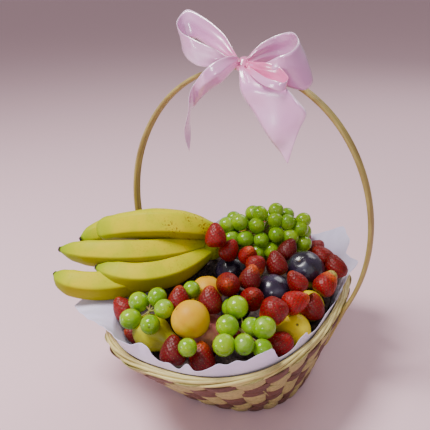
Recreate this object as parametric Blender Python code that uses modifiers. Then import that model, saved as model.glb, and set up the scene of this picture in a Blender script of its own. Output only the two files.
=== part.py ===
"""A fruit gift basket: a woven oval basket with a hoop handle and a satin bow, lined with tissue and
heaped with bananas, grapes, plums, apricots, a peach, a pear and strawberries.

Metres, +Z up. The origin is the middle of the basket's flat base; +Y is the back, and the hoop stands
in a plane across the basket, a little behind its middle.
"""

import math

import bmesh
import bpy
import numpy as np
from mathutils import Vector

MM = 0.001
GAP = 0.0004  # what is left between pieces that touch

# Basket: an oval wall that flares from a nearly round base, with a rim cane on its top edge.
BASE_HALF = (0.090, 0.091)
RIM_HALF = (0.133, 0.191)
RIM_CENTRE_Y = -0.012
RIM_HEIGHT = 0.119
RIM_RADIUS = 0.005
OVAL_POWER = 2.45
# A step square to the flared wall, measured level: longer at the two far-leaning ends.
FLARE_STRETCH = (1.07, 1.37)
WALL = 0.004
OVAL_SIDES = 64

# Hoop handle: a flat band that runs outside the rim and down the outside of the wall.
HOOP_Y = 0.012
HOOP_HALF_WIDTH = 0.165
HOOP_TOP = 0.411
HOOP_BAND = 0.012
HOOP_THICK = 0.005
HOOP_FOOT_Z = 0.052

# Tissue liner: its edge stands above the rim in peaks: (angle, spread, rise in mm, outward lean).
TISSUE_THICK = 0.0012
TISSUE_BOTTOM_Z = 0.078
TISSUE_LEAST_RISE = 0.003
TISSUE_SAG = 7.0  # metres of droop for each square metre of rise
TISSUE_PEAKS = (
    (5, 8, 3, 0),
    (27, 8, 36, 40),
    (46, 8, 52, 18),
    (70, 8, 24, 10),
    (98, 14, 14, 5),
    (131, 12, 30, 8),
    (165, 16, 4, 60),
    (205, 17, 48, 83),
    (236, 12, 14, 62),
    (262, 9, 11, 10),
    (288, 10, 12, 2),
    (312, 9, 26, 0),
    (332, 7, 16, 6),
    (350, 8, 4, 0),
)

# Paper bed under the fruit: it rises to this height at its edge and by this much in the middle.
BED_EDGE_Z = 0.115
BED_LOWEST_Z = 0.100
BED_RISE = 0.046
BED_CELLS = (14, 20)

# Banana hand: fingers bent through tip, middle and neck, which meet at the crown; places in mm.
CROWN_PLACE = (-42, 6, 171)
FINGER_RADIUS = 0.0185
FINGERS = (
    ((-192, -54, 190), (-103, -33, 210), (-39, 8, 192)),
    ((-219, -98, 178), (-124, -66, 177), (-54, 2, 174)),
    ((-158, -101, 166), (-88, -77, 157), (-46, -6, 167)),
    ((-206, -126, 158), (-137, -105, 147), (-52, -18, 158)),
    ((-203, -74, 184), (-146, -19, 190), (-56, 12, 170)),
)

# How the loose fruit lies: the point, in mm, that the heap is arranged to face, the height of the deepest
# fruit's underside, and how strongly a fruit is drawn back to its named place.
HEAP_FACES = (298, -646, 517)
DEEPEST_Z = 0.096
DRAW = 0.02

# Loose fruit: (x, y, z of its middle in mm, width in mm, heading and lift of its tip in degrees).
PLUMS = (
    (-14, 2, 144, 44, 60, 70),
    (82, 30, 148, 51, 250, 55),
    (60, -32, 150, 44, 180, 20),
    (26, -73, 143, 40, 90, 30),
    (-10, 150, 134, 44, 90, 60),
    (-84, 24, 140, 46, 90, 60),
)
APRICOTS = (
    (-12, -70, 146, 42, 120, 70),
    (8, -151, 156, 43, 200, 40),
    (98, 0, 117, 40, 20, 60),
    (103, -62, 119, 42, 310, 50),
    (90, 85, 130, 38, 0, 40),
    (-84, 112, 134, 42, 150, 40),
    (-50, 84, 148, 44, 80, 60),
)
PEACHES = ((21, -123, 122, 45, 110, 50),)
PEARS = ((-24, -152, 120, 44, 172, 8),)
STRAWBERRIES = (
    (-25, -15, 196, 28, 120, 70),
    (-15, -6, 177, 26, 27, 65),
    (8, 0, 172, 25, 320, 60),
    (36, -27, 172, 26, 300, -50),
    (55, -9, 170, 28, 150, 70),
    (53, 46, 166, 27, 60, 60),
    (93, 71, 152, 27, 170, 40),
    (117, 52, 144, 29, 150, 60),
    (117, 15, 138, 30, 60, 40),
    (24, -87, 172, 29, 295, 30),
    (42, -64, 172, 27, 60, 70),
    (90, -38, 165, 25, 190, 55),
    (57, -86, 164, 29, 300, 50),
    (22, -115, 160, 29, 115, 70),
    (85, -98, 156, 33, 230, -60),
    (96, -65, 154, 29, 40, 15),
    (114, -26, 130, 29, 100, 70),
    (100, -104, 122, 29, 220, 20),
    (-27, -119, 158, 28, 110, 65),
    (-91, -149, 137, 28, 170, 50),
    (-65, -161, 124, 26, 200, 20),
    (-3, -174, 122, 29, 110, 60),
    (29, -164, 122, 29, 110, 65),
    (56, -123, 130, 27, 200, 10),
    (-96, 66, 140, 29, 140, 40),
    (-38, 152, 134, 28, 80, 50),
    (34, 152, 136, 29, 70, 45),
    (62, 128, 134, 28, 60, 30),
    (-64, 52, 156, 30, 140, 60),
    (-20, 116, 152, 30, 90, 50),
    (-100, -10, 134, 28, 180, 30),
)
LOOSE_GRAPES = ((-19, -101, 163, 21, 0, 90), (21, -181, 145, 20, 0, 90))

# Small bunches: each grape's place and width in mm.
LEFT_BUNCH = (
    (-74, -130, 150, 25),
    (-68, -157, 143, 25),
    (-37, -163, 147, 23),
    (-29, -145, 160, 23),
    (-49, -127, 161, 23),
    (-58, -117, 152, 21),
)
FRONT_BUNCH = (
    (50, -117, 167, 26),
    (40, -111, 160, 22),
    (50, -142, 157, 25),
    (56, -163, 147, 25),
    (75, -153, 147, 23),
    (86, -124, 154, 26),
    (70, -123, 150, 22),
    (91, -140, 138, 22),
)

# Big bunch: its middle, its half sizes across, up and deep, and how it is turned and leans back.
BIG_BUNCH_PLACE = (2, 76, 172)
BIG_BUNCH_HALF = (0.060, 0.032, 0.024)
BIG_BUNCH_TURN = 27
BIG_BUNCH_LEAN = 20
BIG_GRAPE = 0.023
# Its grapes that face the front: across and up from the middle, in mm.
BIG_BUNCH_FRONT = (
    (-52, 12), (-34, 16), (-6, 27), (17, 31), (15, 18), (-11, 11), (32, 15), (55, 17), (50, 5),
    (-46, -7), (-27, -7), (-5, -9), (16, -2), (35, -6), (-10, -26), (9, -24), (55, -16), (50, -28),
)
BIG_BUNCH_BACK_COUNT = 9

# Bow: each ribbon's two edges, station by station, in mm, from the knot to its end.
RIBBON_THICK = 0.0011
LOOP_LEFT = (
    ((-1, 2, 422), (-5, 2, 417)),
    ((-15, 9, 437), (-21, 7, 424)),
    ((-30, 18, 449), (-36, 14, 429)),
    ((-58, 30, 464), (-55, 24, 433)),
    ((-83, 36, 473), (-71, 28, 440)),
    ((-91, 28, 468), (-82, 22, 440)),
    ((-87, 12, 460), (-81, 8, 431)),
    ((-73, -4, 451), (-66, -8, 422)),
    ((-58, -14, 446), (-47, -18, 416)),
    ((-34, -16, 438), (-33, -20, 414)),
    ((-23, -13, 433), (-18, -17, 415)),
    ((-15, -6, 426), (-8, -9, 417)),
    ((-4, 2, 420), (-4, 2, 414)),
)
LOOP_RIGHT = (
    ((8, 2, 421), (11, 2, 415)),
    ((17, 8, 433), (22, 10, 414)),
    ((26, 15, 441), (35, 18, 414)),
    ((38, 20, 447), (50, 23, 413)),
    ((54, 18, 451), (68, 23, 413)),
    ((66, 9, 448), (81, 16, 407)),
    ((73, -2, 443), (88, 4, 400)),
    ((73, -13, 438), (84, -7, 393)),
    ((68, -20, 434), (71, -15, 395)),
    ((58, -23, 430), (57, -18, 400)),
    ((41, -18, 422), (40, -15, 405)),
    ((21, -8, 418), (21, -8, 411)),
    ((8, 2, 417), (8, 2, 412)),
)
LOOP_SMALL = (
    ((8, 1, 419), (8, 1, 414)),
    ((26, -7, 418), (30, -9, 412)),
    ((46, -14, 419), (51, -17, 411)),
    ((59, -20, 417), (66, -24, 407)),
    ((71, -30, 411), (76, -33, 406)),
    ((72, -38, 406), (72, -41, 400)),
    ((62, -40, 409), (60, -43, 403)),
    ((44, -32, 413), (37, -34, 407)),
    ((20, -12, 417), (14, -13, 413)),
    ((7, 1, 416), (6, 1, 412)),
)
TAIL_LEFT = (
    ((-2, 2, 422), (1, 2, 414)),
    ((-1, -6, 426), (-1, -5, 413)),
    ((-7, -18, 426), (-5, -12, 408)),
    ((-18, -28, 421), (-12, -20, 398)),
    ((-28, -32, 413), (-23, -22, 390)),
    ((-36, -32, 404), (-33, -22, 383)),
    ((-44, -32, 393), (-45, -18, 374)),
    ((-48, -34, 381), (-55, -12, 365)),
    ((-50, -36, 368), (-63, -8, 357)),
    ((-55, -34, 352), (-61, -10, 346)),
    ((-59, -30, 337), (-60, -14, 332)),
    ((-59, -26, 322), (-59, -18, 320)),
    ((-58, -22, 311), (-59, -20, 310)),
)
TAIL_RIGHT = (
    ((1, 2, 417), (8, 2, 412)),
    ((5, -10, 411), (22, -12, 408)),
    ((9, -18, 400), (45, -26, 404)),
    ((13, -22, 390), (62, -34, 401)),
    ((21, -26, 378), (74, -38, 399)),
    ((32, -30, 366), (86, -40, 389)),
    ((44, -32, 352), (97, -40, 375)),
    ((56, -34, 338), (90, -38, 357)),
    ((66, -34, 326), (83, -36, 337)),
    ((75, -34, 315), (76, -34, 315)),
)
KNOT_PLACE = (0.003, HOOP_Y - 0.001, HOOP_TOP + 0.0025)
KNOT_HALF = (0.010, 0.0125, 0.0095)


# ---------------------------------------------------------------- helpers

def material(name, colour, roughness=0.5, metallic=0.0):
    """A Principled finish of one colour."""
    made = bpy.data.materials.new(name)
    made.use_nodes = True
    shader = made.node_tree.nodes["Principled BSDF"]
    shader.inputs["Base Color"].default_value = (*colour, 1.0)
    shader.inputs["Roughness"].default_value = roughness
    shader.inputs["Metallic"].default_value = metallic
    return made


def add_object(name, data, finish, collection):
    """A new object for this mesh or curve, in the collection, with its finish."""
    made = bpy.data.objects.new(name, data)
    collection.objects.link(made)
    if finish is not None and not data.materials:
        data.materials.append(finish)
    return made


def mesh_from(name, points, faces):
    """A smooth-shaded mesh with its normals made to point outwards."""
    data = bpy.data.meshes.new(name)
    data.from_pydata([tuple(p) for p in points], [], [tuple(f) for f in faces])
    work = bmesh.new()
    work.from_mesh(data)
    bmesh.ops.recalc_face_normals(work, faces=work.faces)
    work.to_mesh(data)
    work.free()
    data.shade_smooth()
    return data


def oval(angles, half_x, half_y, centre_y):
    """Points of a superellipse: (x/a)^n + (y/b)^n = 1."""
    c, s = np.cos(angles), np.sin(angles)
    x = half_x * np.sign(c) * np.abs(c) ** (2 / OVAL_POWER)
    y = half_y * np.sign(s) * np.abs(s) ** (2 / OVAL_POWER) + centre_y
    return x, y


def wall_oval(angles, z, inset=0.0):
    """The wall's middle surface at height z, moved inwards by inset: it flares in a straight line."""
    share = z / RIM_HEIGHT
    half_x = BASE_HALF[0] + (RIM_HALF[0] - BASE_HALF[0]) * share - inset * FLARE_STRETCH[0]
    half_y = BASE_HALF[1] + (RIM_HALF[1] - BASE_HALF[1]) * share - inset * FLARE_STRETCH[1]
    x, y = oval(angles, half_x, half_y, RIM_CENTRE_Y * share)
    return np.stack([x, y, np.broadcast_to(z, np.shape(x))], axis=-1)


def lofted(rings, centres=None):
    """Points and faces that join closed rings one to the next, with a fan at each end."""
    count, sides = len(rings), len(rings[0])
    points = [tuple(p) for ring in rings for p in ring]
    faces = [
        (r * sides + s, r * sides + (s + 1) % sides, (r + 1) * sides + (s + 1) % sides, (r + 1) * sides + s)
        for r in range(count - 1)
        for s in range(sides)
    ]
    if centres is None:
        centres = (np.mean(rings[0], axis=0), np.mean(rings[-1], axis=0))
    for ring, centre in ((0, centres[0]), (count - 1, centres[1])):
        points.append(tuple(centre))
        tip = len(points) - 1
        faces += [(ring * sides + s, ring * sides + (s + 1) % sides, tip) for s in range(sides)]
    return points, faces


def smooth_path(stations, per_step):
    """A Catmull-Rom curve through the stations, per_step points to a step."""
    p = np.vstack([2 * stations[0] - stations[1], stations, 2 * stations[-1] - stations[-2]])
    out = []
    for i in range(1, len(p) - 2):
        for k in range(per_step):
            t = k / per_step
            a, b, c, d = p[i - 1], p[i], p[i + 1], p[i + 2]
            out.append(
                0.5 * (2 * b + (c - a) * t + (2 * a - 5 * b + 4 * c - d) * t**2 + (3 * b - a - 3 * c + d) * t**3)
            )
    out.append(p[-2])
    return np.array(out)


def turned_round(turn, lean, vectors):
    """Vectors leant back about X by lean, then turned about Z, both in degrees."""
    a, b = math.radians(turn), math.radians(lean)
    v = np.atleast_2d(vectors)
    x, y, z = v[:, 0], v[:, 1], v[:, 2]
    y, z = y * math.cos(b) + z * math.sin(b), -y * math.sin(b) + z * math.cos(b)
    x, y = x * math.cos(a) - y * math.sin(a), x * math.sin(a) + y * math.cos(a)
    return np.stack([x, y, z], axis=-1)


def tip_direction(heading, lift):
    """The unit vector of a fruit's tip: heading in plan from +X, lift above the horizon."""
    a, b = math.radians(heading), math.radians(lift)
    return np.array([math.cos(a) * math.cos(b), math.sin(a) * math.cos(b), math.sin(b)])


def as_mesh(obj):
    """The object's evaluated shape as a new mesh in world space."""
    bpy.context.view_layer.update()
    shape = obj.evaluated_get(bpy.context.evaluated_depsgraph_get())
    data = bpy.data.meshes.new_from_object(shape)
    data.transform(obj.matrix_world)
    return data


def fused(name, pieces, finish, collection, solver="EXACT"):
    """One solid made of overlapping pieces by a Boolean union on a collection, which is then removed."""
    first, *others = pieces
    group = bpy.data.collections.new(name + "_pieces")
    bpy.context.scene.collection.children.link(group)
    for piece in others:
        for owner in list(piece.users_collection):
            owner.objects.unlink(piece)
        group.objects.link(piece)
    union = first.modifiers.new("Union", "BOOLEAN")
    union.operation = "UNION"
    union.operand_type = "COLLECTION"
    union.collection = group
    union.solver = solver
    data = as_mesh(first)
    for piece in [first, *others]:
        bpy.data.objects.remove(piece)
    bpy.data.collections.remove(group)
    data.name = name
    data.materials.clear()
    return add_object(name, data, finish, collection)


# ---------------------------------------------------------------- basket

def make_wall(collection, finish):
    """The basket's wall and base: a profile up the outside and down the inside, carried round the oval."""
    angles = np.linspace(0, 2 * math.pi, OVAL_SIDES, endpoint=False)
    top = RIM_HEIGHT - RIM_RADIUS - GAP
    outside = [wall_oval(angles, z, -WALL / 2) for z in (0, top)]
    inside = [wall_oval(angles, z, WALL / 2) for z in (top, WALL)]
    points, faces = lofted(outside + inside, ((0, 0, 0), (0, 0, WALL)))
    add_object("basket_wall", mesh_from("basket_wall", points, faces), finish, collection)


def make_rim(collection, finish):
    """The rim: a round bundle of canes that lies on the wall's top edge."""
    angles = np.linspace(0, 2 * math.pi, OVAL_SIDES, endpoint=False)
    path = wall_oval(angles, RIM_HEIGHT)
    curve = bpy.data.curves.new("rim", "CURVE")
    curve.dimensions = "3D"
    curve.bevel_depth = RIM_RADIUS
    curve.bevel_resolution = 1
    spline = curve.splines.new("POLY")
    spline.points.add(len(path) - 1)
    for point, place in zip(spline.points, path):
        point.co = (*place, 1.0)
    spline.use_cyclic_u = True
    add_object("rim", curve, finish, collection)


def hoop_line(count):
    """The hoop's middle line in X and Z: half an ellipse above the rim, then straight down the wall."""
    rim_pass = RIM_HALF[0] + RIM_RADIUS + GAP + HOOP_THICK / 2
    low = -math.sqrt(1 - (rim_pass / HOOP_HALF_WIDTH) ** 2)
    half_height = (HOOP_TOP - RIM_HEIGHT) / (1 - low)
    middle = HOOP_TOP - half_height
    foot_low = (HOOP_FOOT_Z - middle) / half_height
    t = np.linspace(math.asin(foot_low), math.pi - math.asin(foot_low), count)
    z = middle + half_height * np.sin(t)
    base_x = BASE_HALF[0] + HOOP_THICK / 2 + 5 * GAP
    leg_x = base_x + (rim_pass - base_x) * z / RIM_HEIGHT
    x = np.where(z > RIM_HEIGHT, HOOP_HALF_WIDTH * np.abs(np.cos(t)), leg_x) * np.sign(np.cos(t))
    return np.stack([x, z], axis=-1)


def hoop_band(name, thick, band, collection):
    """The hoop's band: a flat outline of this thickness, extruded to the band's width."""
    line = hoop_line(40)
    along = np.gradient(line, axis=0)
    along /= np.linalg.norm(along, axis=1)[:, None]
    normal = np.stack([-along[:, 1], along[:, 0]], axis=-1) * thick / 2
    outline = np.vstack([line + normal, (line - normal)[::-1]])
    curve = bpy.data.curves.new(name, "CURVE")
    curve.dimensions = "2D"
    curve.fill_mode = "BOTH"
    curve.extrude = band / 2
    spline = curve.splines.new("POLY")
    spline.points.add(len(outline) - 1)
    for point, place in zip(spline.points, outline):
        point.co = (place[0], place[1], 0.0, 1.0)
    spline.use_cyclic_u = True
    made = add_object(name, curve, None, collection)
    made.rotation_euler = (math.pi / 2, 0, 0)
    made.location = (0, HOOP_Y, 0)
    return made


def make_hoop(collection, finish):
    """The hoop handle."""
    hoop_band("hoop_handle", HOOP_THICK, HOOP_BAND, collection).data.materials.append(finish)


# ---------------------------------------------------------------- tissue and paper bed

def tissue_edge(degrees):
    """Rise above the rim and outward lean of the tissue's edge at an angle: bell-shaped peaks added up."""
    rise = np.full(np.shape(degrees), TISSUE_LEAST_RISE)
    weight, lean = 1e-6, 0.0
    for angle, spread, height, tilt in TISSUE_PEAKS:
        apart = (degrees - angle + 180) % 360 - 180
        bell = np.exp(-((apart / spread) ** 2))
        rise = rise + height * MM * bell
        weight = weight + bell
        lean = lean + tilt * bell
    return rise, np.radians(lean / weight)


def tissue_inset(z):
    """How far inside the wall's middle the tissue runs: close to the wall, then clear of the rim."""
    near = WALL / 2 + GAP + TISSUE_THICK
    clear = RIM_RADIUS + 2 * GAP + TISSUE_THICK / 2
    share = np.clip((z - 0.095) / 0.015, 0, 1)
    return near + (clear - near) * share * share * (3 - 2 * share)


def tissue_surface(sides, low_rows, high_rows):
    """The tissue's middle surface: rows up inside the wall, then rows out to its peaked edge."""
    angles = np.linspace(0, 2 * math.pi, sides, endpoint=False)
    turn_z = RIM_HEIGHT + RIM_RADIUS + TISSUE_THICK + GAP
    rows = [wall_oval(angles, z, tissue_inset(z)) for z in np.linspace(TISSUE_BOTTOM_Z, turn_z, low_rows)]
    rise, lean = tissue_edge(np.degrees(angles))
    out = np.roll(rows[-1], -1, axis=0) - np.roll(rows[-1], 1, axis=0)
    out = np.stack([out[:, 1], -out[:, 0], np.zeros(sides)], axis=-1)
    out /= np.linalg.norm(out, axis=1)[:, None]
    direction = out * np.sin(lean)[:, None] + np.array([0, 0, 1]) * np.cos(lean)[:, None]
    sag = TISSUE_SAG * rise**2 * (np.degrees(lean) / 90) ** 4
    for share in np.linspace(0, 1, high_rows + 1)[1:]:
        edge = rows[low_rows - 1] + direction * (rise * share)[:, None]
        edge[:, 2] -= sag * share * share
        rows.append(edge)
    return np.array(rows)


def make_tissue(collection, finish):
    """The tissue liner: an open sheet, split into triangles and then thickened."""
    rows = tissue_surface(OVAL_SIDES, 3, 2)
    count, sides = rows.shape[:2]
    faces = [
        (r * sides + s, r * sides + (s + 1) % sides, (r + 1) * sides + (s + 1) % sides, (r + 1) * sides + s)
        for r in range(count - 1)
        for s in range(sides)
    ]
    made = add_object("tissue_liner", mesh_from("tissue_liner", rows.reshape(-1, 3), faces), finish, collection)
    made.modifiers.new("Triangles", "TRIANGULATE")
    thick = made.modifiers.new("Thickness", "SOLIDIFY")
    thick.thickness = TISSUE_THICK
    thick.offset = 0.0
    return rows


def make_bed(collection, finish, balls):
    """The paper bed: a dome, pressed down wherever a fruit's underside lies lower, over the basket's floor.
    Each corner takes the lowest underside within one cell, so no face between corners meets a fruit."""
    across, along = BED_CELLS
    u, v = np.meshgrid(np.linspace(-1, 1, across + 1), np.linspace(-1, 1, along + 1), indexing="ij")
    disc_x, disc_y = u * np.sqrt(1 - v * v / 2), v * np.sqrt(1 - u * u / 2)
    radius = np.hypot(disc_x, disc_y)
    angle = np.arctan2(disc_y, disc_x)
    inset = RIM_RADIUS + 4 * GAP + 2 * TISSUE_THICK
    edge = wall_oval(angle, BED_LOWEST_Z, inset)
    centre = np.array([0, RIM_CENTRE_Y * BED_LOWEST_Z / RIM_HEIGHT])
    x = centre[0] + (edge[..., 0] - centre[0]) * radius
    y = centre[1] + (edge[..., 1] - centre[1]) * radius
    z = BED_EDGE_Z + BED_RISE * (1 - radius**2)
    cell = 0.011
    for place, size in balls:
        apart = np.maximum(0, np.hypot(x - place[0], y - place[1]) - cell)
        under = place[2] - np.sqrt(np.maximum(size**2 - apart**2, 0)) - GAP
        z = np.where(apart < size, np.minimum(z, under), z)
    z = np.where(radius > 0.99, np.maximum(z, BED_LOWEST_Z), z)
    top = np.stack([x, y, z], axis=-1)
    index = np.arange(x.size).reshape(x.shape)
    faces = [
        (index[i, j], index[i + 1, j], index[i + 1, j + 1], index[i, j + 1])
        for i in range(across)
        for j in range(along)
    ]
    border = [*index[:-1, 0], *index[-1, :-1], *index[:0:-1, -1], *index[0, :0:-1]]
    points = list(top.reshape(-1, 3))
    side_angles = angle.reshape(-1)[border]
    previous = border
    for height, gap in ((BED_LOWEST_Z - 0.012, inset), (WALL + GAP, WALL / 2 + 3 * GAP)):
        ring = [len(points) + k for k in range(len(border))]
        points += list(wall_oval(side_angles, height, gap))
        faces += [
            (previous[k], previous[(k + 1) % len(ring)], ring[(k + 1) % len(ring)], ring[k])
            for k in range(len(ring))
        ]
        previous = ring
    points.append((0, 0, WALL + GAP))
    faces += [(previous[k], previous[(k + 1) % len(previous)], len(points) - 1) for k in range(len(previous))]
    add_object("paper_bed", mesh_from("paper_bed", points, faces), finish, collection)


# ---------------------------------------------------------------- fruit shapes

STRAWBERRY_PROFILE = ((0.0, -0.46), (0.32, -0.46), (0.49, -0.18), (0.42, 0.20), (0.19, 0.55), (0.0, 0.66))
PEAR_PROFILE = (
    (0.0, -0.50),
    (0.22, -0.49),
    (0.43, -0.32),
    (0.50, -0.06),
    (0.45, 0.20),
    (0.32, 0.44),
    (0.24, 0.66),
    (0.16, 0.82),
    (0.0, 0.86),
)


def turned_mesh(name, profile, width, steps):
    """A profile (radius, height) in widths, turned about Z by a Screw modifier and kept as a mesh."""
    data = bpy.data.meshes.new(name)
    ordered = [(r * width, 0.0, h * width) for r, h in reversed(profile)]
    data.from_pydata(ordered, [(k, k + 1) for k in range(len(ordered) - 1)], [])
    made = bpy.data.objects.new(name, data)
    bpy.context.scene.collection.objects.link(made)
    screw = made.modifiers.new("Turn", "SCREW")
    screw.axis = "Z"
    screw.steps = steps
    screw.render_steps = steps
    screw.use_merge_vertices = True
    screw.merge_threshold = 0.00005
    turned = as_mesh(made)
    bpy.data.objects.remove(made)
    work = bmesh.new()
    work.from_mesh(turned)
    bmesh.ops.remove_doubles(work, verts=work.verts, dist=0.00005)
    bmesh.ops.recalc_face_normals(work, faces=work.faces)
    work.to_mesh(turned)
    work.free()
    turned.name = name
    turned.shade_smooth()
    return turned


def round_mesh(name, width, cleft, dimple, sides=10, rings=6):
    """A stone fruit: a ball with a shallow cleft down one side and a dimple at its stalk end."""
    data = bpy.data.meshes.new(name)
    work = bmesh.new()
    bmesh.ops.create_uvsphere(work, u_segments=sides, v_segments=rings, radius=width / 2)
    for vert in work.verts:
        side = math.atan2(vert.co.y, vert.co.x)
        pole = vert.co.z / (width / 2)
        fold = cleft * math.exp(-((side / 0.45) ** 2)) * (1 - pole * pole)
        vert.co *= 1 - fold
        if pole > 0.99:
            vert.co.z -= dimple * width
    work.to_mesh(data)
    work.free()
    data.shade_smooth()
    return data


def place_along(obj, middle, direction):
    """Puts an object's middle there, with its own +Z along the direction."""
    obj.rotation_mode = "QUATERNION"
    obj.rotation_quaternion = Vector(direction).to_track_quat("Z", "Y")
    obj.location = middle


def finger_line(finger, count):
    """A banana's middle line: the curve through its tip, middle and neck."""
    tip, middle, neck = (np.array(p, float) * MM for p in finger)
    bend = 2 * middle - (tip + neck) / 2
    t = np.linspace(0, 1, count)[:, None]
    return (1 - t) ** 2 * tip + 2 * t * (1 - t) * bend + t**2 * neck


def finger_radius(share):
    """A banana's thickness along its length: a blunt tip, a full body and a slender neck."""
    stations = (0.0, 0.03, 0.09, 0.2, 0.45, 0.7, 0.83, 0.92, 1.0)
    sizes = (0.22, 0.36, 0.66, 0.92, 1.0, 0.95, 0.82, 0.66, 0.56)
    return np.interp(share, stations, sizes) * FINGER_RADIUS


def make_finger(name, finger, collection):
    """One banana: eight-sided rings, a little flat between five ridges, lofted along the middle line."""
    share = np.array([0.0, 0.03, 0.09, 0.18, 0.32, 0.46, 0.6, 0.73, 0.84, 0.93, 1.0])
    fine = finger_line(finger, 101)
    line = np.stack([np.interp(share, np.linspace(0, 1, 101), fine[:, k]) for k in range(3)], axis=-1)
    along = np.gradient(line, axis=0)
    along /= np.linalg.norm(along, axis=1)[:, None]
    plane = np.cross(fine[50] - fine[0], fine[100] - fine[50])
    plane /= np.linalg.norm(plane)
    other = np.cross(along, plane)
    turn = np.linspace(0, 2 * math.pi, 8, endpoint=False)
    ridge = 1 + 0.035 * np.cos(5 * turn)
    rings = [
        place + size * (np.outer(np.cos(turn) * ridge, plane) + np.outer(np.sin(turn) * ridge, side))
        for place, size, side in zip(line, finger_radius(share), other)
    ]
    points, faces = lofted(rings)
    return add_object(name, mesh_from(name, points, faces), None, collection)


def make_banana_hand(collection, finish):
    """Five bananas fused to the crown that they grow from."""
    pieces = [make_finger(f"finger_{k}", finger, collection) for k, finger in enumerate(FINGERS)]
    crown = bpy.data.meshes.new("crown")
    work = bmesh.new()
    bmesh.ops.create_icosphere(work, subdivisions=2, radius=1.0)
    bmesh.ops.scale(work, vec=(0.012, 0.016, 0.0175), verts=work.verts)
    work.to_mesh(crown)
    work.free()
    lump = add_object("crown", crown, None, collection)
    lump.location = [c * MM for c in CROWN_PLACE]
    fused("banana_hand", [lump, *pieces], finish, collection)


def banana_balls():
    """Balls along each banana, for keeping other fruit clear."""
    balls = []
    for finger in FINGERS:
        share = np.linspace(0, 1, 25)
        for place, size in zip(finger_line(finger, 25), finger_radius(share)):
            balls.append((place, size * 1.04))
    balls.append((np.array(CROWN_PLACE) * MM, 0.018))
    return balls


# ---------------------------------------------------------------- grapes

def big_bunch_grapes():
    """Grape middles of the big bunch: the named ones on the front of its oval body, and a spiral of
    others over the back half."""
    half = BIG_BUNCH_HALF
    local = []
    for across, up in BIG_BUNCH_FRONT:
        a, b = across * MM, up * MM
        left = max(0.0, 1 - (a / half[0] / 1.25) ** 2 - (b / half[1] / 1.25) ** 2)
        local.append((a, -half[2] * math.sqrt(left), b))
    golden = math.pi * (3 - math.sqrt(5))
    for k in range(BIG_BUNCH_BACK_COUNT):
        away = (k + 0.5) / BIG_BUNCH_BACK_COUNT
        ring = math.sqrt(1 - away * away) * 0.92
        angle = k * golden
        local.append((half[0] * ring * math.cos(angle), half[2] * away, half[1] * ring * math.sin(angle)))
    return turned_round(BIG_BUNCH_TURN, BIG_BUNCH_LEAN, local) + np.array(BIG_BUNCH_PLACE) * MM


def bunch_core_balls():
    """Balls in a row through the big bunch's core, and one at each small bunch's hub."""
    row = [(x * BIG_BUNCH_HALF[0], 0, 0) for x in (-0.86, -0.66, -0.4, -0.15, 0.15, 0.4, 0.66, 0.86)]
    size = (0.018, 0.026, 0.031, 0.033, 0.033, 0.031, 0.026, 0.018)
    places = turned_round(BIG_BUNCH_TURN, BIG_BUNCH_LEAN, row) + np.array(BIG_BUNCH_PLACE) * MM
    hubs = [(small_bunch_hub(rows), 0.007) for rows in (LEFT_BUNCH, FRONT_BUNCH)]
    return [*zip(places, size), *hubs]


def small_bunch_hub(rows):
    """Where a small bunch's twigs meet: the middle of its grapes, a little low."""
    return np.array([row[:3] for row in rows], float).mean(axis=0) * MM - np.array([0, 0, 0.004])


def grape_ball(name, place, width, collection):
    """A grape with few sides."""
    data = bpy.data.meshes.new(name)
    work = bmesh.new()
    bmesh.ops.create_uvsphere(work, u_segments=7, v_segments=5, radius=width / 2)
    work.to_mesh(data)
    work.free()
    made = add_object(name, data, None, collection)
    made.location = place
    return made


def make_big_bunch(collection, finish):
    """The big bunch: a smaller core with its grapes fused on."""
    core = bpy.data.meshes.new("bunch_core")
    work = bmesh.new()
    bmesh.ops.create_icosphere(work, subdivisions=2, radius=1.0)
    corners = np.array([v.co for v in work.verts]) * np.array([BIG_BUNCH_HALF[0], BIG_BUNCH_HALF[2], BIG_BUNCH_HALF[1]])
    moved = turned_round(BIG_BUNCH_TURN, BIG_BUNCH_LEAN, corners) + np.array(BIG_BUNCH_PLACE) * MM
    for vert, place in zip(work.verts, moved):
        vert.co = place
    work.to_mesh(core)
    work.free()
    body = add_object("bunch_core", core, None, collection)
    grapes = [grape_ball(f"grape_{k}", p, BIG_GRAPE, collection) for k, p in enumerate(big_bunch_grapes())]
    fused("grape_bunch_back", [body, *grapes], finish, collection)


def make_small_bunch(name, rows, collection, finish):
    """A small bunch: grapes joined by twigs to the bunch's stem, which lies among them."""
    places = np.array([row[:3] for row in rows], float) * MM
    hub = small_bunch_hub(rows)
    pieces = [grape_ball(f"{name}_{k}", p, row[3] * MM, collection) for k, (p, row) in enumerate(zip(places, rows))]
    knob = grape_ball(name + "_hub", hub, 0.009, collection)
    for k, place in enumerate(places):
        away = place - hub
        side = np.cross(away, (0, 0, 1))
        side = side / np.linalg.norm(side)
        other = np.cross(away / np.linalg.norm(away), side)
        turn = np.linspace(0, 2 * math.pi, 5, endpoint=False)
        ring = 0.0018 * (np.outer(np.cos(turn), side) + np.outer(np.sin(turn), other))
        points, faces = lofted([hub + ring, place + ring])
        pieces.append(add_object(f"{name}_twig_{k}", mesh_from("twig", points, faces), None, collection))
    fused(name, [knob, *pieces], finish, collection)


# ---------------------------------------------------------------- the heap

def fruit_balls(kind, width, direction):
    """Balls, as (offset from the fruit's middle, radius), that wrap a fruit of this kind."""
    if kind == "strawberry":
        parts = ((-0.14, 0.50), (0.08, 0.47), (0.28, 0.37), (0.46, 0.22), (0.58, 0.12))
    elif kind == "pear":
        parts = ((-0.02, 0.51), (0.22, 0.45), (0.46, 0.33), (0.66, 0.25), (0.80, 0.16), (0.95, 0.07), (1.08, 0.07))
    else:
        parts = ((0.0, 0.505),)
    return [(direction * at * width, size * width) for at, size in parts]


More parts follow.
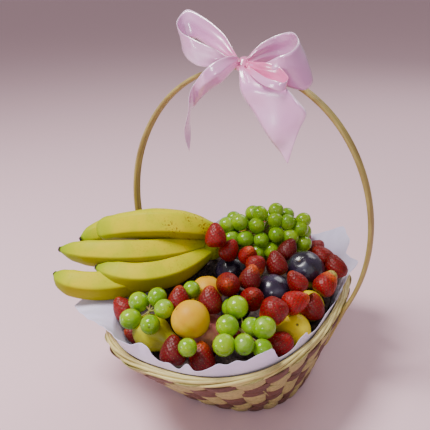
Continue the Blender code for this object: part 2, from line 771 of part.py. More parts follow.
def kept_inside(middles, widths):
    """Brings back over the basket any fruit that would reach past its edge at the rim's height, and up
    any that lies too deep."""
    above = np.clip(middles[:, 2] - RIM_HEIGHT - RIM_RADIUS, 0, widths / 2)
    reach = np.sqrt((widths / 2) ** 2 - above**2) * 0.8
    half_x = RIM_HALF[0] - RIM_RADIUS - reach
    half_y = RIM_HALF[1] - RIM_RADIUS - reach * FLARE_STRETCH[1]
    x, y = middles[:, 0], middles[:, 1] - RIM_CENTRE_Y
    out = (np.abs(x / half_x) ** OVAL_POWER + np.abs(y / half_y) ** OVAL_POWER) ** (1 / OVAL_POWER)
    back = 1 / np.maximum(out, 1)
    low = DEEPEST_Z + widths / 2
    return np.stack([x * back, y * back + RIM_CENTRE_Y, np.maximum(middles[:, 2], low)], axis=-1)


def settle(rows, fixed, sheet, rounds=600):
    """Moves the loose fruit apart until none meets another, the bananas, the bunches or the tissue.
    Every overlapping pair of balls is pushed apart by a share of its overlap, round after round. Each fruit
    slides on the line from the point that the heap faces: of two that meet, the rear one slips back and the
    front one comes forward, so the heap steps up towards the back. Only the tissue, and the last rounds,
    push sideways too. Until then each fruit is drawn back a little to its named place."""
    middles = np.array([row["middle"] for row in rows])
    home = middles.copy()
    widths = np.array([row["width"] for row in rows])
    line = middles - np.array(HEAP_FACES) * MM
    line /= np.linalg.norm(line, axis=1)[:, None]
    owner = np.array([k for k, row in enumerate(rows) for _ in row["balls"]])
    offset = np.array([b[0] for row in rows for b in row["balls"]])
    size = np.array([b[1] for row in rows for b in row["balls"]])
    groups = [(np.array([b[0] for b in balls]), np.array([b[1] for b in balls])) for balls in (fixed, sheet)]
    clear = 2 * GAP
    for step in range(rounds):
        late = step > 0.7 * rounds
        here = middles[owner] + offset
        along, aside = np.zeros(len(middles)), np.zeros_like(middles)
        for k, (other, other_size) in enumerate([(here, size), *groups]):
            away = here[:, None] - other[None]
            far = np.linalg.norm(away, axis=2)
            over = size[:, None] + other_size[None] + clear - far
            if k == 0:
                over[owner[:, None] == owner[None]] = 0
                between = (middles[:, None] - middles[None])[owner][:, owner]
            else:
                between = away
            over = np.maximum(over, 0) * (0.175 if k == 0 else 0.35)
            sideways = 1.0 if k == 2 else 0.5 if late else 0.04
            push = (away / np.maximum(far, 1e-9)[..., None] * over[..., None]).sum(axis=1)
            np.add.at(aside, owner, push * sideways)
            if k < 2:
                order = np.sign((between * line[owner][:, None]).sum(axis=-1))
                np.add.at(along, owner, (order * over).sum(axis=1))
        if not late:
            along += ((home - middles) * line).sum(axis=1) * DRAW
        middles = kept_inside(middles + line * along[:, None] + aside, widths)
    return middles


def heap_rows():
    """Every loose fruit: its name, kind, width, tip direction, middle and balls."""
    tables = (
        ("plum", PLUMS),
        ("apricot", APRICOTS),
        ("peach", PEACHES),
        ("pear", PEARS),
        ("strawberry", STRAWBERRIES),
        ("grape", LOOSE_GRAPES),
    )
    rows = []
    for kind, table in tables:
        for number, (x, y, z, width, heading, lift) in enumerate(table, 1):
            direction = tip_direction(heading, lift)
            rows.append(
                {
                    "name": f"{kind}_{number:02d}",
                    "kind": kind,
                    "width": width * MM,
                    "direction": direction,
                    "middle": np.array([x, y, z]) * MM,
                    "balls": fruit_balls(kind, width * MM, direction),
                }
            )
    return rows


def pear_with_stalk(name, width, collection, finish):
    """A pear and its bent stalk, fused."""
    body = add_object(name + "_body", turned_mesh(name + "_body", PEAR_PROFILE, width, 12), None, collection)
    turn = np.linspace(0, 2 * math.pi, 6, endpoint=False)
    rings = []
    for height, aside in ((0.80, 0.0), (0.95, 0.01), (1.12, 0.05)):
        rings.append(
            [((0.045 * math.cos(t) + aside) * width, 0.045 * math.sin(t) * width, height * width) for t in turn]
        )
    points, faces = lofted(np.array(rings))
    stalk = add_object(name + "_stalk", mesh_from("stalk", points, faces), None, collection)
    return fused(name, [body, stalk], finish, collection)


def make_heap(collection, finishes, fixed, sheet):
    """Settles the loose fruit, makes each one and returns the balls that wrap them."""
    rows = heap_rows()
    balls = []
    for row, middle in zip(rows, settle(rows, fixed, sheet)):
        kind, name, width = row["kind"], row["name"], row["width"]
        finish = finishes[kind]
        if kind == "strawberry":
            made = add_object(name, turned_mesh(name, STRAWBERRY_PROFILE, width, 8), finish, collection)
        elif kind == "pear":
            made = pear_with_stalk(name, width, collection, finish)
        elif kind == "grape":
            made = grape_ball(name, (0, 0, 0), width, collection)
            made.data.materials.append(finish)
        else:
            cleft, dimple = (0.03, 0.05) if kind == "plum" else (0.045, 0.04)
            made = add_object(name, round_mesh(name, width, cleft, dimple), finish, collection)
        place_along(made, middle, row["direction"])
        balls += [(middle + offset, size) for offset, size in row["balls"]]
    return balls


# ---------------------------------------------------------------- bow

def ribbon(name, stations, collection):
    """A ribbon: straight across from edge to edge, smooth along its length, and thickened."""
    edges = [smooth_path(np.array([s[k] for s in stations], float) * MM, 2) for k in (0, 1)]
    rows = np.stack([edges[0], (edges[0] + edges[1]) / 2, edges[1]], axis=1)
    faces = [(3 * r + c, 3 * r + c + 1, 3 * r + c + 4, 3 * r + c + 3) for r in range(len(rows) - 1) for c in (0, 1)]
    data = bpy.data.meshes.new(name)
    data.from_pydata([tuple(p) for p in rows.reshape(-1, 3)], [], faces)
    made = add_object(name, data, None, collection)
    made.modifiers.new("Triangles", "TRIANGULATE")
    thick = made.modifiers.new("Thickness", "SOLIDIFY")
    thick.thickness = RIBBON_THICK
    thick.offset = 0.0
    solid = add_object(name + "_solid", as_mesh(made), None, collection)
    bpy.data.objects.remove(made)
    return solid


def make_bow(collection, finish):
    """The bow: loops and tails fused to the knot, which has a way through it for the hoop's band."""
    knot = bpy.data.meshes.new("knot")
    work = bmesh.new()
    bmesh.ops.create_icosphere(work, subdivisions=2, radius=1.0)
    bmesh.ops.scale(work, vec=KNOT_HALF, verts=work.verts)
    work.to_mesh(knot)
    work.free()
    lump = add_object("knot", knot, None, collection)
    lump.location = KNOT_PLACE
    ribbons = [
        ribbon(name, stations, collection)
        for name, stations in (
            ("loop_left", LOOP_LEFT),
            ("loop_right", LOOP_RIGHT),
            ("loop_small", LOOP_SMALL),
            ("tail_left", TAIL_LEFT),
            ("tail_right", TAIL_RIGHT),
        )
    ]
    whole = fused("bow", [lump, *ribbons], finish, collection)
    band = hoop_band("hoop_way", HOOP_THICK + 2 * GAP, HOOP_BAND + 2 * GAP, collection)
    way = add_object("hoop_way_cutter", as_mesh(band), None, collection)
    way.display_type = "WIRE"
    way.hide_render = True
    cut = whole.modifiers.new("Hoop way", "BOOLEAN")
    cut.operation = "DIFFERENCE"
    cut.object = way
    data = as_mesh(whole)
    whole.modifiers.clear()
    whole.data = data
    bpy.data.objects.remove(way)
    bpy.data.objects.remove(band)


# ---------------------------------------------------------------- the whole

def main():
    """Empties the scene and builds the basket and everything in and on it."""
    for obj in list(bpy.data.objects):
        bpy.data.objects.remove(obj)
    collection = bpy.data.collections.new("fruit_gift_basket")
    bpy.context.scene.collection.children.link(collection)

    cane = material("cane", (0.62, 0.50, 0.26), 0.55)
    chip = material("wood_chip", (0.40, 0.26, 0.15), 0.65)
    tissue = material("tissue", (0.80, 0.72, 0.84), 0.6)
    paper = material("paper", (0.16, 0.12, 0.10), 0.9)
    satin = material("satin", (0.86, 0.58, 0.76), 0.3)
    banana = material("banana_skin", (0.80, 0.66, 0.04), 0.45)
    grape = material("grape_skin", (0.42, 0.55, 0.06), 0.25)
    finishes = {
        "plum": material("plum_skin", (0.03, 0.015, 0.04), 0.25),
        "apricot": material("apricot_skin", (0.90, 0.55, 0.08), 0.5),
        "peach": material("peach_skin", (0.55, 0.16, 0.16), 0.7),
        "pear": material("pear_skin", (0.62, 0.55, 0.05), 0.4),
        "strawberry": material("strawberry_skin", (0.55, 0.03, 0.03), 0.3),
        "grape": grape,
    }

    make_wall(collection, chip)
    make_rim(collection, cane)
    make_hoop(collection, cane)
    make_tissue(collection, tissue)
    make_banana_hand(collection, banana)
    make_big_bunch(collection, grape)
    make_small_bunch("grape_bunch_left", LEFT_BUNCH, collection, grape)
    make_small_bunch("grape_bunch_front", FRONT_BUNCH, collection, grape)

    held = banana_balls()
    held += [(place, BIG_GRAPE / 2) for place in big_bunch_grapes()]
    held += [(np.array(row[:3]) * MM, row[3] * MM / 2) for row in (*LEFT_BUNCH, *FRONT_BUNCH)]
    held += bunch_core_balls()
    sheet = [(place, TISSUE_THICK / 2 + GAP) for place in tissue_surface(128, 8, 6).reshape(-1, 3)]
    loose = make_heap(collection, finishes, held, sheet)
    make_bed(collection, paper, held + loose)
    make_bow(collection, satin)


main()
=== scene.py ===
"""A fruit gift basket: woven wall, cane rim and hoop, tissue liner, satin bow and heaped fruit.

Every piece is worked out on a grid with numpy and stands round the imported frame, in metres. The file is
laid out as an add-on: sizes and colours are properties, each piece is an operator, and one panel lists
them all.
"""

import math

import bpy
import numpy as np
from bpy.props import FloatProperty, FloatVectorProperty, IntProperty, PointerProperty
from mathutils import Matrix, Vector


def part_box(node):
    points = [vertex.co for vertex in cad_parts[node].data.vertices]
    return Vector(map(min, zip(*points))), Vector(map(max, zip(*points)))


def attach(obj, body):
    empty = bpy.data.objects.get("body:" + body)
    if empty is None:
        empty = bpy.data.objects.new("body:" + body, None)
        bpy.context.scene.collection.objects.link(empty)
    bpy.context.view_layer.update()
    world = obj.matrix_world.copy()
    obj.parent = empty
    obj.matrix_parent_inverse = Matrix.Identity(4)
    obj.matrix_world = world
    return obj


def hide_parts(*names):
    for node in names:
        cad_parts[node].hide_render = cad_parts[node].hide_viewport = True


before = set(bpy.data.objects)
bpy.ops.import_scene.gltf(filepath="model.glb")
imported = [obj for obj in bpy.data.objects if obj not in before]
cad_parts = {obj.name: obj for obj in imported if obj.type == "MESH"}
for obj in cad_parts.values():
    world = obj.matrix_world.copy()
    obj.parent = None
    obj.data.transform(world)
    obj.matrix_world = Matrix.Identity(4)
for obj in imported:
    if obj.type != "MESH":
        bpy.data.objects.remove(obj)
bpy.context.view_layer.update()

bl_info = {
    "name": "Fruit Gift Basket",
    "version": (1, 0, 0),
    "blender": (4, 5, 0),
    "location": "View3D > Sidebar > Fruit Basket",
    "description": "Builds a woven gift basket of fruit with a satin bow",
    "category": "Add Mesh",
}

MM = 0.001
BODY = "root"
TAU = 2 * np.pi
GOLDEN_TURN = math.pi * (3 - math.sqrt(5))
UP = np.array([0.0, 0.0, 1.0])


# ---------------------------------------------------------------- frame measures

def node_corners(name):
    """A node's separate corners, as an (n, 3) array."""
    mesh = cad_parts[name].data
    places = np.empty(len(mesh.vertices) * 3)
    mesh.vertices.foreach_get("co", places)
    return np.unique(np.round(places.reshape(-1, 3), 6), axis=0)


def node_names(kind):
    """The numbered nodes of a kind of fruit, in order."""
    return sorted(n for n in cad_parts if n.startswith(kind + "_") and n[-2:].isdigit())


def ball_lie(name):
    """Middle and radius of a round node: its box's middle, and the mean reach of its corners."""
    low, high = (np.array(v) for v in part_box(name))
    middle = (low + high) / 2
    return middle, np.linalg.norm(node_corners(name) - middle, axis=1).mean()


def long_lie(name):
    """Mean corner, tip direction and width of a turned node. The direction is the one its corners spread
    most along, towards their further end."""
    corners = node_corners(name)
    mean = corners.mean(axis=0)
    axis = np.linalg.eigh(np.cov((corners - mean).T))[1][:, 2]
    reach = (corners - mean) @ axis
    if reach.max() < -reach.min():
        axis, reach = -axis, -reach
    width = 2 * np.linalg.norm((corners - mean) - np.outer(reach, axis), axis=1).max()
    return mean, axis, width


# ---------------------------------------------------------------- properties

def size(name, description, default):
    """A length property."""
    return FloatProperty(name=name, description=description, default=default, subtype="DISTANCE",
                         unit="LENGTH", min=0.0, precision=4)


def colour(name, description, default):
    """A colour property."""
    return FloatVectorProperty(name=name, description=description, default=default, subtype="COLOR",
                               size=3, min=0.0, max=1.0)


class BasketSizes(bpy.types.PropertyGroup):
    """Sizes and colours of the basket, its hoop and its rim."""

    base_half_x: size("Base half width", "Half the base's width, across the basket", 0.090)
    base_half_y: size("Base half length", "Half the base's length", 0.091)
    rim_half_x: size("Rim half width", "Half the rim's width, across the basket", 0.133)
    rim_half_y: size("Rim half length", "Half the rim's length", 0.191)
    rim_centre_y: FloatProperty(
        name="Rim offset",
        description="How far the rim's middle lies behind the base's",
        default=-0.012,
        subtype="DISTANCE",
        unit="LENGTH",
    )
    rim_height: size("Rim height", "Height of the rim cane's middle", 0.119)
    rim_radius: size("Rim radius", "Half the rim bundle's thickness", 0.005)
    oval_power: FloatProperty(
        name="Oval power", description="2 is an ellipse, higher is squarer", default=2.45
    )
    wall: size("Wall", "Thickness of the wall", 0.004)
    rows: IntProperty(name="Weave rows", description="Rows of chip from base to rim", default=7, min=4)
    waves: IntProperty(
        name="Weave waves",
        description="Times each strip goes in and out on its way round",
        default=16,
        min=6,
    )
    hoop_half: size("Hoop half width", "Half the hoop's greatest width", 0.165)
    hoop_top: size("Hoop top", "Height of the hoop's middle line at its top", 0.411)
    hoop_foot: size("Hoop foot", "Height of the hoop's lower ends", 0.052)
    hoop_y: size("Hoop place", "How far back the hoop stands", 0.012)
    hoop_band: size("Hoop band", "Width of the hoop's three canes together", 0.0135)
    hoop_thick: size("Hoop thickness", "Thickness of the hoop's canes", 0.0054)
    pale_chip: colour("Pale chip", "The light weaving chip", (0.46, 0.39, 0.14))
    dark_chip: colour("Dark chip", "The brown weaving chip", (0.15, 0.056, 0.034))
    cane: colour("Cane", "Rim cane", (0.80, 0.69, 0.25))
    hoop_cane: colour("Hoop cane", "Split cane of the hoop", (0.46, 0.37, 0.10))
    # Colour of the canes' darker streaks, also drawn in the grooves between the hoop's canes.
    cane_groove: colour("Cane groove", "Weathered grooves in the cane", (0.17, 0.085, 0.02))


class WrapSizes(bpy.types.PropertyGroup):
    """Sizes and colours of the tissue and the bow."""

    tissue_thick: size("Tissue thickness", "Thickness the tissue is drawn with", 0.0005)
    tissue_bottom: size("Tissue bottom", "Height of the tissue's hidden lower edge", 0.078)
    ribbon_thick: size("Ribbon thickness", "Thickness of the satin", 0.0005)
    tissue: colour("Tissue", "Tissue paper", (0.74, 0.66, 0.92))
    satin: colour("Satin", "Bow ribbon", (0.78, 0.36, 0.70))
    # Near black: painted shade for the deep gaps between the fruit.
    paper: colour("Paper", "Paper filling under the fruit", (0.045, 0.030, 0.026))


class FruitSizes(bpy.types.PropertyGroup):
    """Sizes and colours of the fruit."""

    seeds: IntProperty(name="Strawberry seeds", description="Seeds on each strawberry", default=150, min=20)
    finger_radius: size("Banana radius", "Half a banana's thickness", 0.0185)
    banana: colour("Banana", "Ripe banana skin", (0.68, 0.57, 0.0))
    banana_green: colour("Banana ends", "Green ends of the bananas", (0.22, 0.37, 0.0))
    grape: colour("Grape", "Grape skin", (0.17, 0.36, 0.0))
    grape_pale: colour("Grape light", "Sunny side of a grape", (0.29, 0.48, 0.0))
    plum: colour("Plum", "Plum skin", (0.012, 0.008, 0.018))
    apricot: colour("Apricot", "Apricot skin", (0.66, 0.33, 0.0))
    apricot_pale: colour("Pale apricot", "Lemon side of an apricot", (0.70, 0.51, 0.0))
    peach: colour("Peach", "Peach blush", (0.62, 0.13, 0.17))
    pear: colour("Pear", "Pear skin", (0.42, 0.40, 0.0))
    strawberry: colour("Strawberry", "Dark strawberry red", (0.13, 0.001, 0.003))
    strawberry_bright: colour("Bright strawberry", "Bright strawberry red", (0.38, 0.003, 0.001))
    seed: colour("Seed", "Strawberry seeds", (0.34, 0.15, 0.02))
    twig: colour("Twig", "Grape stems", (0.30, 0.30, 0.05))


# ---------------------------------------------------------------- meshes

def ring_faces(rows, cols, closed=True):
    """Quads between rows of a grid, going round if closed, facing down-then-round."""
    span = cols if closed else cols - 1
    r, c = np.meshgrid(np.arange(rows - 1), np.arange(span), indexing="ij")
    n = (c + 1) % cols
    here, ahead = r * cols, (r + 1) * cols
    return np.stack([here + c, ahead + c, ahead + n, here + n], axis=-1).reshape(-1, 4)


def end_fans(rows, cols):
    """Triangles from the first and the last ring of a grid to two more corners, numbered after its own."""
    k = np.arange(cols)
    n = (k + 1) % cols
    first, last = rows * cols, (rows - 1) * cols
    return np.vstack([
        np.stack([n, k, np.full(cols, first)], -1),
        np.stack([last + k, last + n, np.full(cols, first + 1)], -1),
    ])


def globe(rows, cols):
    """A closed ball's polar angle and turn at each corner, from the pole on +Z, and its faces."""
    polar = np.linspace(0, np.pi, rows + 1)[1:-1]
    theta = np.concatenate([[0.0], np.repeat(polar, cols), [np.pi]])
    phi = np.concatenate([[0.0], np.tile(np.arange(cols) * TAU / cols, rows - 1), [0.0]])
    quads = ring_faces(rows - 1, cols) + 1
    k = np.arange(cols)
    n = (k + 1) % cols
    last = 1 + (rows - 2) * cols
    top = np.stack([np.zeros(cols, int), 1 + k, 1 + n], axis=-1)
    bottom = np.stack([last + k, np.full(cols, last + cols), last + n], axis=-1)
    return theta, phi, quads, np.vstack([top, bottom])


def ball_points(theta, phi):
    """Corners of a unit ball at these polar angles and turns."""
    return np.stack([np.sin(theta) * np.cos(phi), np.sin(theta) * np.sin(phi), np.cos(theta)], -1)


def part(points, quads, tris=None, slot=0, uv=None, **marks):
    """One stretch of surface for make_piece: its corners, faces, finish number, and values per corner."""
    return {
        "points": points.reshape(-1, 3),
        "quads": quads,
        "tris": np.zeros((0, 3), int) if tris is None else tris,
        "slot": slot,
        "uv": uv,
        "marks": marks,
    }


def make_piece(name, parts, finishes):
    """One mesh object from all its parts. Corners, loops and faces go in as whole arrays; marks become
    float attributes of the corners, and uv a UV map."""
    counts = [len(p["points"]) for p in parts]
    start = np.concatenate([[0], np.cumsum(counts)[:-1]]).astype(int)
    points = np.vstack([p["points"] for p in parts])
    quads = np.vstack([p["quads"] + s for p, s in zip(parts, start)])
    tris = np.vstack([p["tris"] + s for p, s in zip(parts, start)])
    slots = np.concatenate([np.full(len(p[kind]), p["slot"]) for kind in ("quads", "tris") for p in parts])
    corners = np.concatenate([quads.reshape(-1), tris.reshape(-1)]).astype(np.int32)
    totals = np.concatenate([np.full(len(quads), 4), np.full(len(tris), 3)]).astype(np.int32)
    mesh = bpy.data.meshes.new(name)
    mesh.vertices.add(len(points))
    mesh.vertices.foreach_set("co", points.astype(np.float32).reshape(-1))
    mesh.loops.add(len(corners))
    mesh.loops.foreach_set("vertex_index", corners)
    mesh.polygons.add(len(totals))
    mesh.polygons.foreach_set("loop_start", np.concatenate([[0], np.cumsum(totals)[:-1]]).astype(np.int32))
    mesh.polygons.foreach_set("material_index", slots.astype(np.int32))
    mesh.polygons.foreach_set("use_smooth", np.full(len(totals), True))
    mesh.update(calc_edges=True)
    for mark in sorted({m for p in parts for m in p["marks"]}):
        values = np.concatenate(
            [np.broadcast_to(p["marks"].get(mark, 0.0), (n,)).reshape(-1) for p, n in zip(parts, counts)]
        )
        mesh.attributes.new(mark, "FLOAT", "POINT").data.foreach_set("value", values.astype(np.float32))
    if any(p["uv"] is not None for p in parts):
        flat = np.vstack(
            [np.zeros((n, 2)) if p["uv"] is None else p["uv"].reshape(-1, 2) for p, n in zip(parts, counts)]
        )
        layer = mesh.uv_layers.new(name="UVMap")
        layer.data.foreach_set("uv", flat[corners].astype(np.float32).reshape(-1))
    mesh.validate()
    for finish in finishes:
        mesh.materials.append(finish)
    piece = bpy.data.objects.new(name, mesh)
    bpy.context.scene.collection.objects.link(piece)
    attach(piece, BODY)
    return piece


def axes_along(direction, spin=0.0):
    """Rows x, y, z of a frame whose z is the direction, turned about it by spin degrees."""
    z = np.asarray(direction, float) / np.linalg.norm(direction)
    side = np.cross((0.0, 0.0, 1.0) if abs(z[2]) < 0.95 else (1.0, 0.0, 0.0), z)
    side /= np.linalg.norm(side)
    other = np.cross(z, side)
    a = math.radians(spin)
    x = side * math.cos(a) + other * math.sin(a)
    return np.stack([x, np.cross(z, x), z])


def heading(turn, lift):
    """The unit vector with this turn in plan from +X and this lift, in degrees."""
    a, b = math.radians(turn), math.radians(lift)
    return np.array([math.cos(a) * math.cos(b), math.sin(a) * math.cos(b), math.sin(b)])


def smooth_rows(stations, count):
    """A Catmull-Rom curve through rows of numbers, sampled at count even steps of its index."""
    p = np.asarray(stations, float)
    p = np.vstack([2 * p[0] - p[1], p, 2 * p[-1] - p[-2]])
    t = np.linspace(0, len(p) - 3, count)
    i = np.minimum(t.astype(int), len(p) - 4)
    t = (t - i)[:, None]
    a, b, c, d = p[i], p[i + 1], p[i + 2], p[i + 3]
    return 0.5 * (2 * b + (c - a) * t + (2 * a - 5 * b + 4 * c - d) * t**2 + (3 * b - a - 3 * c + d) * t**3)


def even_rows(rows, count):
    """The same curve sampled at even steps of its length."""
    steps = np.linalg.norm(np.diff(rows[:, :3], axis=0), axis=1)
    along = np.concatenate([[0], np.cumsum(steps)])
    at = np.linspace(0, along[-1], count)
    return np.stack([np.interp(at, along, column) for column in rows.T], -1)


def tube(path, radius, sides=8, closed=False):
    """A round tube along a path: at each point a ring of corners, square to the path, in a frame whose side
    stays square to one fixed axis. The ends of an open one are closed by fans."""
    along = np.gradient(path, axis=0) if not closed else np.roll(path, -1, 0) - np.roll(path, 1, 0)
    along /= np.linalg.norm(along, axis=1)[:, None]
    up = UP if abs(along[:, 2]).mean() < 0.8 else np.array([0.0, 1.0, 0.0])
    side = np.cross(along, up)
    side /= np.linalg.norm(side, axis=1)[:, None]
    other = np.cross(side, along)
    turn = np.arange(sides) * TAU / sides
    radius = np.broadcast_to(radius, (len(path),))[:, None, None]
    ring = side[:, None] * np.cos(turn)[None, :, None] + other[:, None] * np.sin(turn)[None, :, None]
    points = path[:, None] + ring * radius
    rows, cols = points.shape[:2]
    uv = np.stack(np.meshgrid(np.linspace(0, 1, rows), turn / TAU, indexing="ij"), -1)
    if closed:
        link = np.arange(cols)
        nxt = (link + 1) % cols
        last = (rows - 1) * cols
        quads = np.vstack([ring_faces(rows, cols), np.stack([last + link, link, nxt, last + nxt], -1)])
        return part(points, quads[:, ::-1], uv=uv)
    flat = np.vstack([points.reshape(-1, 3), path[0], path[-1]])
    uv = np.vstack([uv.reshape(-1, 2), [[0, 0], [1, 0]]])
    return part(flat, ring_faces(rows, cols)[:, ::-1], end_fans(rows, cols), uv=uv)


def thicken(piece, thickness):
    """Gives a sheet its thickness, half of it to each side."""
    made = piece.modifiers.new("Thickness", "SOLIDIFY")
    made.thickness = thickness
    made.offset = 0.0


# ---------------------------------------------------------------- finishes

def add(tree, kind, **values):
    """A node in the tree, with its settings."""
    made = tree.nodes.new(kind)
    for key, value in values.items():
        setattr(made, key, value)
    return made


def join(tree, source, target):
    """Feeds a socket into another, or sets the target to a plain value."""
    if isinstance(source, bpy.types.NodeSocket):
        tree.links.new(source, target)
    elif isinstance(source, (tuple, list)) and len(source) == 3 and target.type == "RGBA":
        target.default_value = (*source, 1.0)
    else:
        target.default_value = source


def mixed(tree, share, first, second):
    """Colour first to second, by share."""
    made = add(tree, "ShaderNodeMix", data_type="RGBA")
    join(tree, share, made.inputs["Factor"])
    join(tree, first, made.inputs["A"])
    join(tree, second, made.inputs["B"])
    return made.outputs["Result"]


def ramp(tree, value, low, high, to_low=0.0, to_high=1.0):
    """Value taken smoothly from low..high to to_low..to_high."""
    made = add(tree, "ShaderNodeMapRange", interpolation_type="SMOOTHSTEP")
    names = ("Value", "From Min", "From Max", "To Min", "To Max")
    for name, source in zip(names, (value, low, high, to_low, to_high)):
        join(tree, source, made.inputs[name])
    return made.outputs["Result"]


def maths(tree, operation, first, second=0.0):
    """One step of arithmetic."""
    made = add(tree, "ShaderNodeMath", operation=operation)
    join(tree, first, made.inputs[0])
    join(tree, second, made.inputs[1])
    return made.outputs["Value"]


def mark(tree, name):
    """A corner attribute of the piece."""
    return add(tree, "ShaderNodeAttribute", attribute_name=name).outputs["Fac"]


def noise(tree, where, scale, detail=3.0, roughness=0.5):
    """Noise between 0 and 1."""
    made = add(tree, "ShaderNodeTexNoise")
    join(tree, where, made.inputs["Vector"])
    join(tree, scale, made.inputs["Scale"])
    made.inputs["Detail"].default_value = detail
    made.inputs["Roughness"].default_value = roughness
    return made.outputs["Fac"]


def place(tree):
    """The piece's own coordinates, in metres."""
    return add(tree, "ShaderNodeTexCoord").outputs["Object"]


def group(name, takes, gives):
    """An empty shader node group with these inputs and outputs: (name, socket kind, default)."""
    tree = bpy.data.node_groups.new(name, "ShaderNodeTree")
    for label, kind, default in takes:
        socket = tree.interface.new_socket(label, in_out="INPUT", socket_type=kind)
        socket.default_value = default
    for label, kind in gives:
        tree.interface.new_socket(label, in_out="OUTPUT", socket_type=kind)
    return tree, tree.nodes.new("NodeGroupInput"), tree.nodes.new("NodeGroupOutput")


def mottle_group():
    """Mottling: two colours mixed by cloudy noise, with fine dots of a third."""
    number, tint = "NodeSocketFloat", "NodeSocketColor"
    tree, got, out = group(
        "Mottle",
        [("Colour", tint, (1, 1, 1, 1)), ("Other", tint, (1, 1, 1, 1)), ("Dots", tint, (0, 0, 0, 1)),
         ("Scale", number, 40.0), ("Low", number, 0.35), ("High", number, 0.65), ("Dot scale", number, 400.0),
         ("Dot amount", number, 0.0)],
        [("Colour", tint)],
    )
    cloud = noise(tree, place(tree), got.outputs["Scale"], 4.0, 0.55)
    share = ramp(tree, cloud, got.outputs["Low"], got.outputs["High"])
    base = mixed(tree, share, got.outputs["Colour"], got.outputs["Other"])
    cells = add(tree, "ShaderNodeTexVoronoi", feature="F1")
    join(tree, place(tree), cells.inputs["Vector"])
    join(tree, got.outputs["Dot scale"], cells.inputs["Scale"])
    near = ramp(tree, cells.outputs["Distance"], 0.10, 0.28, 1.0, 0.0)
    dots = maths(tree, "MULTIPLY", near, got.outputs["Dot amount"])
    join(tree, mixed(tree, dots, base, got.outputs["Dots"]), out.inputs["Colour"])
    return tree


def relief_group():
    """Relief: a normal from fine noise at one scale plus lumps ten times larger."""
    number = "NodeSocketFloat"
    tree, got, out = group(
        "Relief",
        [("Scale", number, 800.0), ("Strength", number, 0.2), ("Depth", number, 0.0003)],
        [("Normal", "NodeSocketVector")],
    )
    fine = noise(tree, place(tree), got.outputs["Scale"], 3.0)
    broad = noise(tree, place(tree), maths(tree, "MULTIPLY", got.outputs["Scale"], 0.1), 2.0)
    height = maths(tree, "ADD", fine, maths(tree, "MULTIPLY", broad, 1.5))
    bump = add(tree, "ShaderNodeBump")
    join(tree, got.outputs["Strength"], bump.inputs["Strength"])
    join(tree, got.outputs["Depth"], bump.inputs["Distance"])
    join(tree, height, bump.inputs["Height"])
    join(tree, bump.outputs["Normal"], out.inputs["Normal"])
    return tree


def grain_group():
    """Grain: fibres that run along the strip's UV map, as streaks between two colours, and their relief."""
    number, tint = "NodeSocketFloat", "NodeSocketColor"
    tree, got, out = group(
        "Grain",
        [("Colour", tint, (1, 1, 1, 1)), ("Dark", tint, (0, 0, 0, 1)), ("Along", number, 12.0),
         ("Across", number, 9.0), ("Contrast", number, 0.6), ("Depth", number, 0.0004)],
        [("Colour", tint), ("Normal", "NodeSocketVector")],
    )
    where = add(tree, "ShaderNodeUVMap", uv_map="UVMap").outputs["UV"]
    stretch = add(tree, "ShaderNodeVectorMath", operation="MULTIPLY")
    scale = add(tree, "ShaderNodeCombineXYZ")
    join(tree, got.outputs["Along"], scale.inputs["X"])
    join(tree, got.outputs["Across"], scale.inputs["Y"])
    join(tree, where, stretch.inputs[0])
    join(tree, scale.outputs["Vector"], stretch.inputs[1])
    streak = noise(tree, stretch.outputs["Vector"], 1.0, 5.0, 0.6)
    cloud = noise(tree, place(tree), 30.0, 2.0)
    patchy = maths(tree, "ADD", streak, maths(tree, "MULTIPLY", cloud, 0.35))
    share = maths(tree, "MULTIPLY", ramp(tree, patchy, 0.45, 0.95), got.outputs["Contrast"])
    join(tree, mixed(tree, share, got.outputs["Colour"], got.outputs["Dark"]), out.inputs["Colour"])
    bump = add(tree, "ShaderNodeBump")
    bump.inputs["Strength"].default_value = 0.6
    join(tree, got.outputs["Depth"], bump.inputs["Distance"])
    join(tree, streak, bump.inputs["Height"])
    join(tree, bump.outputs["Normal"], out.inputs["Normal"])
    return tree


def use_group(tree, maker, **values):
    """A placed copy of a shared group, with its inputs set or fed."""
    name = maker.__name__.replace("_group", "").title()
    inner = bpy.data.node_groups.get(name) or maker()
    made = add(tree, "ShaderNodeGroup", node_tree=inner)
    for key, value in values.items():
        join(tree, value, made.inputs[key.replace("_", " ")])
    return made


def finish(name, roughness=0.5, coat=0.0, coat_roughness=0.1, sheen=0.0, subsurface=0.0, specular=0.5):
    """A new material, its node tree and its Principled shader."""
    made = bpy.data.materials.new(name)
    made.use_nodes = True
    shader = made.node_tree.nodes["Principled BSDF"]
    for key, value in (
        ("Roughness", roughness),
        ("Coat Weight", coat),
        ("Coat Roughness", coat_roughness),
        ("Sheen Weight", sheen),
        ("Specular IOR Level", specular),
        ("Subsurface Weight", subsurface),
    ):
        shader.inputs[key].default_value = value
    return made, made.node_tree, shader


def tint(properties, key):
    """A colour property as a plain tuple."""
    return tuple(getattr(properties, key))


def cane_finish(key, along, across, contrast):
    """Split cane: straw streaks with darker grooves."""
    look = bpy.context.scene.basket_sizes
    groove = tint(look, "cane_groove")
    made, tree, shader = finish(key, 0.48, coat=0.15, coat_roughness=0.35)
    grain = use_group(tree, grain_group, Colour=tint(look, key), Dark=groove, Along=along, Across=across,
                      Contrast=contrast, Depth=0.0006)
    in_groove = maths(tree, "MULTIPLY", mark(tree, "groove"), 0.85)
    join(tree, mixed(tree, in_groove, grain.outputs["Colour"], groove), shader.inputs["Base Color"])
    join(tree, grain.outputs["Normal"], shader.inputs["Normal"])
    return made


